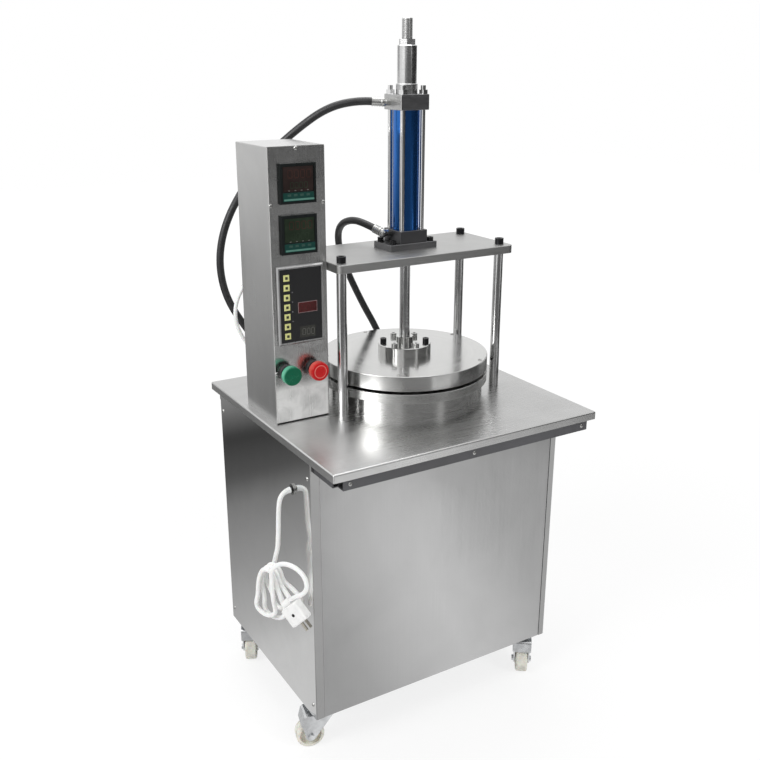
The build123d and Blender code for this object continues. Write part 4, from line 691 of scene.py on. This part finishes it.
def smooth_line(name, points, radius, material):
    """A round line on one NURBS spline, from points in millimetres."""
    curve = bpy.data.curves.new(name, "CURVE")
    curve.dimensions = "3D"
    curve.bevel_depth = radius
    curve.bevel_resolution = 6
    curve.resolution_u = 10
    curve.use_fill_caps = True
    spline = curve.splines.new("NURBS")
    spline.points.add(len(points) - 1)
    for point, place in zip(spline.points, points):
        point.co = (place[0] / 1000, place[1] / 1000, place[2] / 1000, 1.0)
    spline.order_u = 3
    spline.use_endpoint_u = True
    curve.materials.append(material)
    line = add_object(name, curve)
    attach(line, "stand")
    return line


def grommet_finish(name, rubber, plate, ring_at, seal_radius, ring_reach):
    """Black rubber, with a bright plated ring round the seal where the mains cord leaves the left panel."""
    material, tree = blank_material(name)
    offset = reckon_vector(tree, "SUBTRACT", coordinate(tree), ring_at)
    apart = reckon_vector(tree, "LENGTH", reckon_vector(tree, "MULTIPLY", offset, (0, 1, 1)))
    inward = reckon_vector(tree, "DOT_PRODUCT", offset, (1, 0, 0))
    plated = reckon(tree, "MULTIPLY", reckon(tree, "GREATER_THAN", apart, seal_radius),
                    reckon(tree, "LESS_THAN", inward, ring_reach))
    chalk = noise(tree, 60, 4.0, 0.6)
    worn = drifting(tree, chalk, rubber, 1.0, 2.0)
    return surface(material, blend(tree, plated, worn, plate), spread(tree, chalk, 0.25, 0.40),
                   (chalk, 0.1, 0.0002), metallic=plated)


hose_black = worn_skin("hose_black", (0.012, 0.012, 0.013), 30, 1300, worn=2.4, band=(0.45, 0.8),
                       gloss=(0.34, 0.55), bump=(0.35, 0.0003), patch_shift=(2, 2, 7))
dress(plated_steel("fitting_plate", (0.46, 0.46, 0.45), 0.30), "hose_fittings")
dress(grommet_finish("grommet_rubber", (0.014, 0.014, 0.014), (0.30, 0.30, 0.295), (-0.2955, -0.116, 0.5635),
                     seal_radius=0.0066, ring_reach=0.01), "cable_grommets")
upper_route = [(-22.94, 54.12, 1248.58), (-49.37, 68.23, 1250.08), (-97, 98, 1237), (-144, 130, 1199),
               (-196, 162, 1147), (-246, 180, 1083), (-285, 187, 1014), (-302, 187, 942), (-292, 184, 868),
               (-256, 178, 802), (-214, 171, 741), (-192, 165, 682), (-190, 164, 625), (-172, 162, 585),
               (-136, 160.5, 556), (-88, 160.5, 536), (-36, 163, 518), (8, 167, 492), (32, 169, 452),
               (42, 170, 412), (42, 170, 366)]
lower_route = [(-12.59, 62.47, 1001.37), (-26.18, 91.68, 1012.24), (-34, 124, 1012), (-38, 156, 1000),
               (-33, 183, 974), (-17, 202, 926), (14, 215, 868), (51, 222, 800), (88, 223, 737), (112, 222, 676),
               (117, 222, 610), (112, 215, 548), (98, 198, 494), (84, 180, 446), (78, 170, 408), (78, 170, 366)]
for hose_name, hose_node, hose_route, hose_length in (("upper_hose_line", "upper_hose", upper_route, 1.193),
                                                      ("lower_hose_line", "lower_hose", lower_route, 0.795)):
    hose = smooth_line(hose_name, hose_route, 0.0075, hose_black)
    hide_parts(hose_node)
    [c / 1000 for c in hose_route[0]]

# Signal cable: a thin cable in a white PVC sheath, from a gland in the control box's back to the table.
# It hangs in one bow behind the box and goes down through a grommet. Handling has left faint grey marks.
white_sheath = worn_skin("white_sheath", (0.88, 0.88, 0.87), 50, 800, worn=0.82, band=(0.5, 0.85),
                         gloss=(0.34, 0.5), bump=(0.1, 0.0002), grain_shift=(3, 6, 1), subsurface=0.05)
signal_route = [(-238, 128, 925), (-238, 143.5, 925), (-242.3, 156.9, 918.6), (-249.7, 164.4, 907.4),
                (-264, 164.7, 886), (-280, 162, 858), (-285, 157, 826), (-277, 152, 796), (-261, 148.5, 768),
                (-246, 146, 739), (-237.5, 144.5, 710), (-236, 144, 684), (-236, 144, 661)]
signal = smooth_line("signal_cable_line", signal_route, 0.004, white_sheath)
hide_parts("signal_cable")

# Mains cord: white sheathed cord that leaves the left panel, hangs down and is tied in a hank of loose loops.
# Its tail curls out of the hank to a flat plug with bright pins.
hank_turn = math.radians(60)
hank_middle = Vector((-347.0, -112.0, 362.0))
hank_across = Vector((math.cos(hank_turn), -math.sin(hank_turn), 0))
hank_out = Vector((-math.sin(hank_turn), -math.cos(hank_turn), 0))


def in_hank(across, out, up):
    """A point in the hank's own plane, in millimetres."""
    return hank_middle + hank_across * across + hank_out * out + Vector((0, 0, up))


loop_sizes = (1.0, 0.9, 1.06, 0.95)
loop_leans = (35.0, 23.0, 10.0, -2.0)
loop_pitch, loop_length, tie_height = 10.6, 300.0, 30.0
first_loop = -loop_pitch * 1.8
side_slope = math.atan2(13.5, 58.0)
splay, fall = math.sin(side_slope), math.cos(side_slope)
loop_shape = ((-16.0, tie_height, 0.08, -splay, -fall), (-24.0, -28.0, 0.2, -splay, -fall),
              (0.0, -51.0, 0.34, 1, 0), (24.0, -28.0, 0.48, -splay, fall), (16.0, tie_height, 0.6, -splay, fall),
              (0.0, 49.0, 0.84, -1, 0))


def loop_places(loop):
    """Six places round a loop with its own size and lean under the tie, with the cord's way at each."""
    places = []
    for across, up, share, run, climb in loop_shape:
        lean = 0.0
        if up < tie_height:
            lean = math.radians(loop_leans[loop])
            wide, drop = across * loop_sizes[loop], (up - tie_height) * loop_sizes[loop]
            across = wide * math.cos(lean) - drop * math.sin(lean)
            up = tie_height + wide * math.sin(lean) + drop * math.cos(lean)
        way = hank_across * (run * math.cos(lean) - climb * math.sin(lean)) + hank_out * (loop_pitch / loop_length)
        way.z = run * math.sin(lean) + climb * math.cos(lean)
        places.append((in_hank(across, first_loop + (loop + share) * loop_pitch, up), way.normalized()))
    return places


def bend_points(start, start_way, end, end_way):
    """The two control points that carry the cord from one place and way to the next."""
    chord = end - start
    square = 2 * (start_way.dot(end_way) - 1)
    along = -2 * chord.dot(start_way + end_way)
    if abs(square) < 1e-6:
        reach = -chord.dot(chord) / along
    else:
        reach = (-along - math.sqrt(along ** 2 - 4 * square * chord.dot(chord))) / (2 * square)
    return [start + start_way * reach, end - end_way * reach]


cord_route = [Vector(place) for place in (
    (-298.5, -116, 563.5), (-307.5, -116, 563.5), (-316.5, -116.2, 559.5), (-322, -114.5, 551.5),
    (-324, -112, 537), (-325.5, -110.5, 508), (-327, -111, 478), (-330.5, -113, 447))]
cord_route += [in_hank(across, first_loop + 0.08 * loop_pitch, up) for across, up in ((1.0, 66.0), (-6.0, 38.0))]
hank_places = [place for loop in range(len(loop_sizes)) for place in loop_places(loop)][:-1]
hank_places[0] = (hank_places[0][0], Vector((0, 0, -1)))
hank_places[-1] = (hank_places[-1][0], Vector((0, 0, 1)))
for (start, start_way), (end, end_way) in zip(hank_places, hank_places[1:]):
    cord_route += bend_points(start, start_way, end, end_way)
tail_out = 19.0
cord_route += [in_hank(across, tail_out, up) for across, up in (
    (16.0, 36.0), (16.5, 53.0), (24, 66), (39, 77), (59, 80), (78, 75), (92, 63), (97, 46), (90, 28), (67.2, 14.1),
    (58.1, 4.8))]
cord = smooth_line("mains_cord_line", cord_route, 0.0045, white_sheath)
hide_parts("mains_cord", "cord_hank", "cord_tail")


def boot_ring(tree, sizes):
    """A rounded ring across the cord, on each point a little smaller than on the one before."""
    order, last_ring = made(tree, "GeometryNodeInputIndex"), 7.0
    ring = swept_ring(tree, sizes["Ring radius"], sizes["Bead radius"], (32, 10))
    shrink = spread(tree, order, 1.0, sizes["Tip share"], 0.0, last_ring)
    return ring, {"Rotation": facing_rotation(tree), "Scale": shrink}


boot_sizes = {"Ring radius": 0.0047, "Bead radius": 0.0013, "Tip share": 0.78}
boot_places = []
for bend, shares in ((1, (0.08, 0.24, 0.40, 0.58, 0.77, 0.95)), (2, (0.14, 0.36, 0.60))):
    corner, last = cord_route[bend], (cord_route[bend] + cord_route[bend + 1]) / 2
    first = cord_route[0] if bend == 1 else (cord_route[bend - 1] + cord_route[bend]) / 2
    for share in shares:
        middle = first * (1 - share) ** 2 + corner * (2 * share * (1 - share)) + last * share ** 2
        way = (corner - first) * (1 - share) + (last - corner) * share
        boot_places.append((middle / 1000, way.normalized()))
for boot_name, boot_slot, boot_rubber, places in (("cord_exit_ring", "cable_grommets", hose_black, boot_places[:1]),
                                                  ("cord_boot", "mains_cord", white_sheath, boot_places[1:])):
    run_rule(boot_name, boot_ring, boot_sizes, places, boot_rubber, "stand")


def plug_plastic(name, colour, middle, forward, front):
    """White moulded plastic as far as the plug's front face, and bright brass pins beyond it."""
    material, tree = blank_material(name)
    offset = reckon_vector(tree, "SUBTRACT", coordinate(tree), middle)
    beyond = reckon(tree, "GREATER_THAN", reckon_vector(tree, "DOT_PRODUCT", offset, forward), front)
    marks = noise(tree, 90, 4.0, 0.6)
    skin = noise(tree, 900, 2.0, shift=(2, 1, 5))
    moulded = drifting(tree, marks, colour, 1.0, 0.85, 0.5, 0.85)
    return surface(material, blend(tree, beyond, moulded, (0.60, 0.57, 0.50)),
                   spread(tree, marks, 0.30, 0.42), (skin, 0.1, 0.0002), metallic=beyond)


plug_tilt = math.radians(44.5)
plug_middle = in_hank(70.0, tail_out, -19.5) / 1000
plug_forward = hank_across * math.cos(plug_tilt) - Vector((0, 0, 1)) * math.sin(plug_tilt)
dress(plug_plastic("plug_white", (0.86, 0.86, 0.85), plug_middle, plug_forward, front=0.0202), "mains_plug")
plug_half = 0.0099
plug_screw_seat = plug_middle + hank_out * plug_half
plug_screw = run_rule("plug_screw", pan_screw, {"Head radius": 0.0034}, [(plug_screw_seat, hank_out)],
                      paint("plug_screw", (0.02, 0.02, 0.02), 0.4, fade=0.3, metallic=0.5), "stand")

# Studio: a white floor that fades into a white room, three soft lamps, and grey flags out of the camera's sight.
# The polished steel mirrors the flags, which gives it dark sides as in a workshop.


def seen_rays(tree):
    """One for rays that see the background: camera, glossy and transmission rays."""
    rays = place_node(tree, "ShaderNodeLightPath").outputs
    first = reckon(tree, "MAXIMUM", rays["Is Camera Ray"], rays["Is Glossy Ray"])
    return reckon(tree, "MAXIMUM", first, rays["Is Transmission Ray"])


def stage_mesh(name, points, faces, material):
    """A stage object from plain points and faces."""
    mesh = bpy.data.meshes.new(name)
    mesh.from_pydata(points, [], faces)
    mesh.materials.append(material)
    thing = add_object(name, mesh)
    return thing


floor_white, floor_tree = blank_material("floor_white")
surface(floor_white, (0.86, 0.86, 0.86, 1.0), 0.9)
floor_glow = made(floor_tree, "ShaderNodeEmission", {"Color": (1, 1, 1, 1), "Strength": 1.05})
floor_reach = reckon_vector(floor_tree, "LENGTH", coordinate(floor_tree))
floor_fade = spread(floor_tree, floor_reach, low=0.76, high=1.0, start=0.9, stop=2.6)
floor_mix = made(floor_tree, "ShaderNodeMixShader", {
    0: reckon(floor_tree, "MULTIPLY", floor_fade, seen_rays(floor_tree)),
    1: floor_tree.nodes["Principled BSDF"].outputs[0], 2: floor_glow})
feed(floor_tree, floor_tree.nodes["Material Output"], {"Surface": floor_mix})
stage_mesh("floor", [(-9, -9, 0), (9, -9, 0), (9, 9, 0), (-9, 9, 0)], [(0, 1, 2, 3)], floor_white)


def hang_flag(name, points, faces, strength):
    """A grey flag that only mirror-like surfaces see, which gives its node tree and its glow."""
    material, tree = blank_material(name)
    glow = place_node(tree, "ShaderNodeEmission", {"Color": (1, 1, 1, 1), "Strength": strength})
    feed(tree, tree.nodes["Material Output"], {"Surface": glow.outputs[0]})
    flag = stage_mesh(name, points, faces, material)
    flag.visible_camera = flag.visible_diffuse = flag.visible_shadow = False
    return tree, glow


def curved_flag(name, first_angle, last_angle, near, far, level):
    """A flag round the press between two plan angles and two edges, each a reach and a height."""
    steps, points, faces = 8, [], []
    for step in range(steps + 1):
        angle = math.radians(first_angle + (last_angle - first_angle) * step / steps)
        points += [(reach * math.cos(angle), reach * math.sin(angle), height) for reach, height in (near, far)]
        if step:
            faces.append((2 * step - 2, 2 * step - 1, 2 * step + 1, 2 * step))
    hang_flag(name, points, faces, level)


# Each flag's two plan angles, its two heights on the wall or two reaches on the floor, and its light level.
wall_reach, floor_lift = 2.6, 0.004
wall_flags = ((-158, -80, floor_lift, 0.40, 0.12), (-80, -62, floor_lift, 0.40, 0.20),
              (-62, -50, floor_lift, 0.28, 0.10), (-138, -80, 0.40, 1.14, 0.15), (-80, -62, 0.40, 0.95, 0.24),
              (-62, -50, 0.28, 0.62, 0.85), (-62, -50, 0.62, 0.95, 0.08), (-80, -50, 0.95, 1.20, 0.06),
              (-50, -2, floor_lift, 1.20, 0.05), (100, 143, 1.24, 1.44, 0.40), (-146, -112, 1.14, 1.44, 0.20),
              (-112, -80, 1.14, 1.44, 0.14), (-80, -73, 1.20, 1.44, 0.14), (-124, -73, 1.44, 1.90, 0.14),
              (-73, -63, 1.20, 1.40, 0.14), (-63, -45, 1.20, 1.90, 0.06), (-45, 32, 1.20, 1.90, 0.04))
floor_flags = ((-152, -84, 1.70, 2.6, 0.30), (-82, -66, 1.50, 1.76, 0.33), (-80, -62, 2.32, 2.6, 0.15),
               (-58, -44, 1.80, 2.6, 0.60), (-44, 32, 1.70, 2.6, 0.08))
for number, (*angles, low, high, level) in enumerate(wall_flags):
    curved_flag(f"wall_flag_{number}", *angles, (wall_reach, low), (wall_reach, high), level)
for number, (*angles, near, far, level) in enumerate(floor_flags):
    curved_flag(f"floor_flag_{number}", *angles, (near, floor_lift), (far, floor_lift), level)

side_near, side_far, side_front, side_rear = -0.30, -7.5, -0.4, 14.0
side_tree, side_glow = hang_flag("side_flag", [
    (side_far, side_front, floor_lift), (side_near, side_front, floor_lift), (side_near, side_rear, floor_lift),
    (side_far, side_rear, floor_lift)], [(0, 1, 2, 3)], 0.3)
side_depth = spread(side_tree, coordinate(side_tree, 1), 0.0, 1.0, 0.0, side_rear)
side_ramp = place_node(side_tree, "ShaderNodeValToRGB", {0: side_depth})
side_ramp.color_ramp.elements[0].color = (0.66, 0.66, 0.66, 1.0)
for stop, level in ((0.013, 0.64), (0.0215, 0.48), (0.043, 0.33), (0.066, 0.225), (0.080, 0.095), (0.104, 0.045),
                    (0.126, 0.22), (0.152, 0.29), (0.195, 0.37), (0.254, 0.43), (0.336, 0.47), (0.464, 0.57),
                    (0.686, 0.95)):
    side_ramp.color_ramp.elements.new(stop).color = (level, level, level, 1.0)
feed(side_tree, side_glow, {"Strength": side_ramp.outputs[0]})


def soft_lamp(name, place, target, size, power):
    """A square soft lamp that points at a target."""
    lamp = bpy.data.lights.new(name, "AREA")
    lamp.shape = "SQUARE"
    lamp.size = size
    lamp.energy = power
    holder = add_object(name, lamp)
    holder.location = place
    holder.rotation_euler = (Vector(target) - Vector(place)).to_track_quat("-Z", "Y").to_euler()
    return holder


soft_lamp("key_lamp", (-2.7, -0.5, 2.4), (0, 0, 0.8), 1.4, 50)
soft_lamp("fill_lamp", (1.0, -2.6, 1.6), (0, 0, 0.6), 1.0, 26).visible_glossy = False
soft_lamp("top_lamp", (0.2, 0.6, 3.0), (0, 0, 0.7), 1.8, 30)

world = bpy.data.worlds.new("studio")
bpy.context.scene.world = world
world.use_nodes = True
sky = world.node_tree
sky.nodes.clear()
dim, bright = (made(sky, "ShaderNodeBackground", {"Color": (1, 1, 1, 1), "Strength": strength})
               for strength in (0.5, 1.0))
sky_mix = made(sky, "ShaderNodeMixShader", {0: seen_rays(sky), 1: dim, 2: bright})
place_node(sky, "ShaderNodeOutputWorld", {"Surface": sky_mix})

# Camera: the photograph's place and angle, above the table and to its left.
# Its lens and place were fitted to edges of the table, the control box, the columns and the cabinet.
camera_turn, camera_drop = math.radians(-30.83), math.radians(18.992)
lens = bpy.data.cameras.new("camera")
lens.sensor_width = 36.0
lens.lens = 43.986
camera = add_object("camera", lens)
camera.rotation_mode = "QUATERNION"
camera.location = (-0.9650, -1.5553, 1.3230)
aim = Matrix.Rotation(camera_turn, 3, "Z") @ Matrix.Rotation(math.pi / 2 - camera_drop, 3, "X")
camera.rotation_quaternion = aim.to_quaternion()
bpy.context.scene.camera = camera
bpy.context.scene.view_settings.view_transform = "Standard"
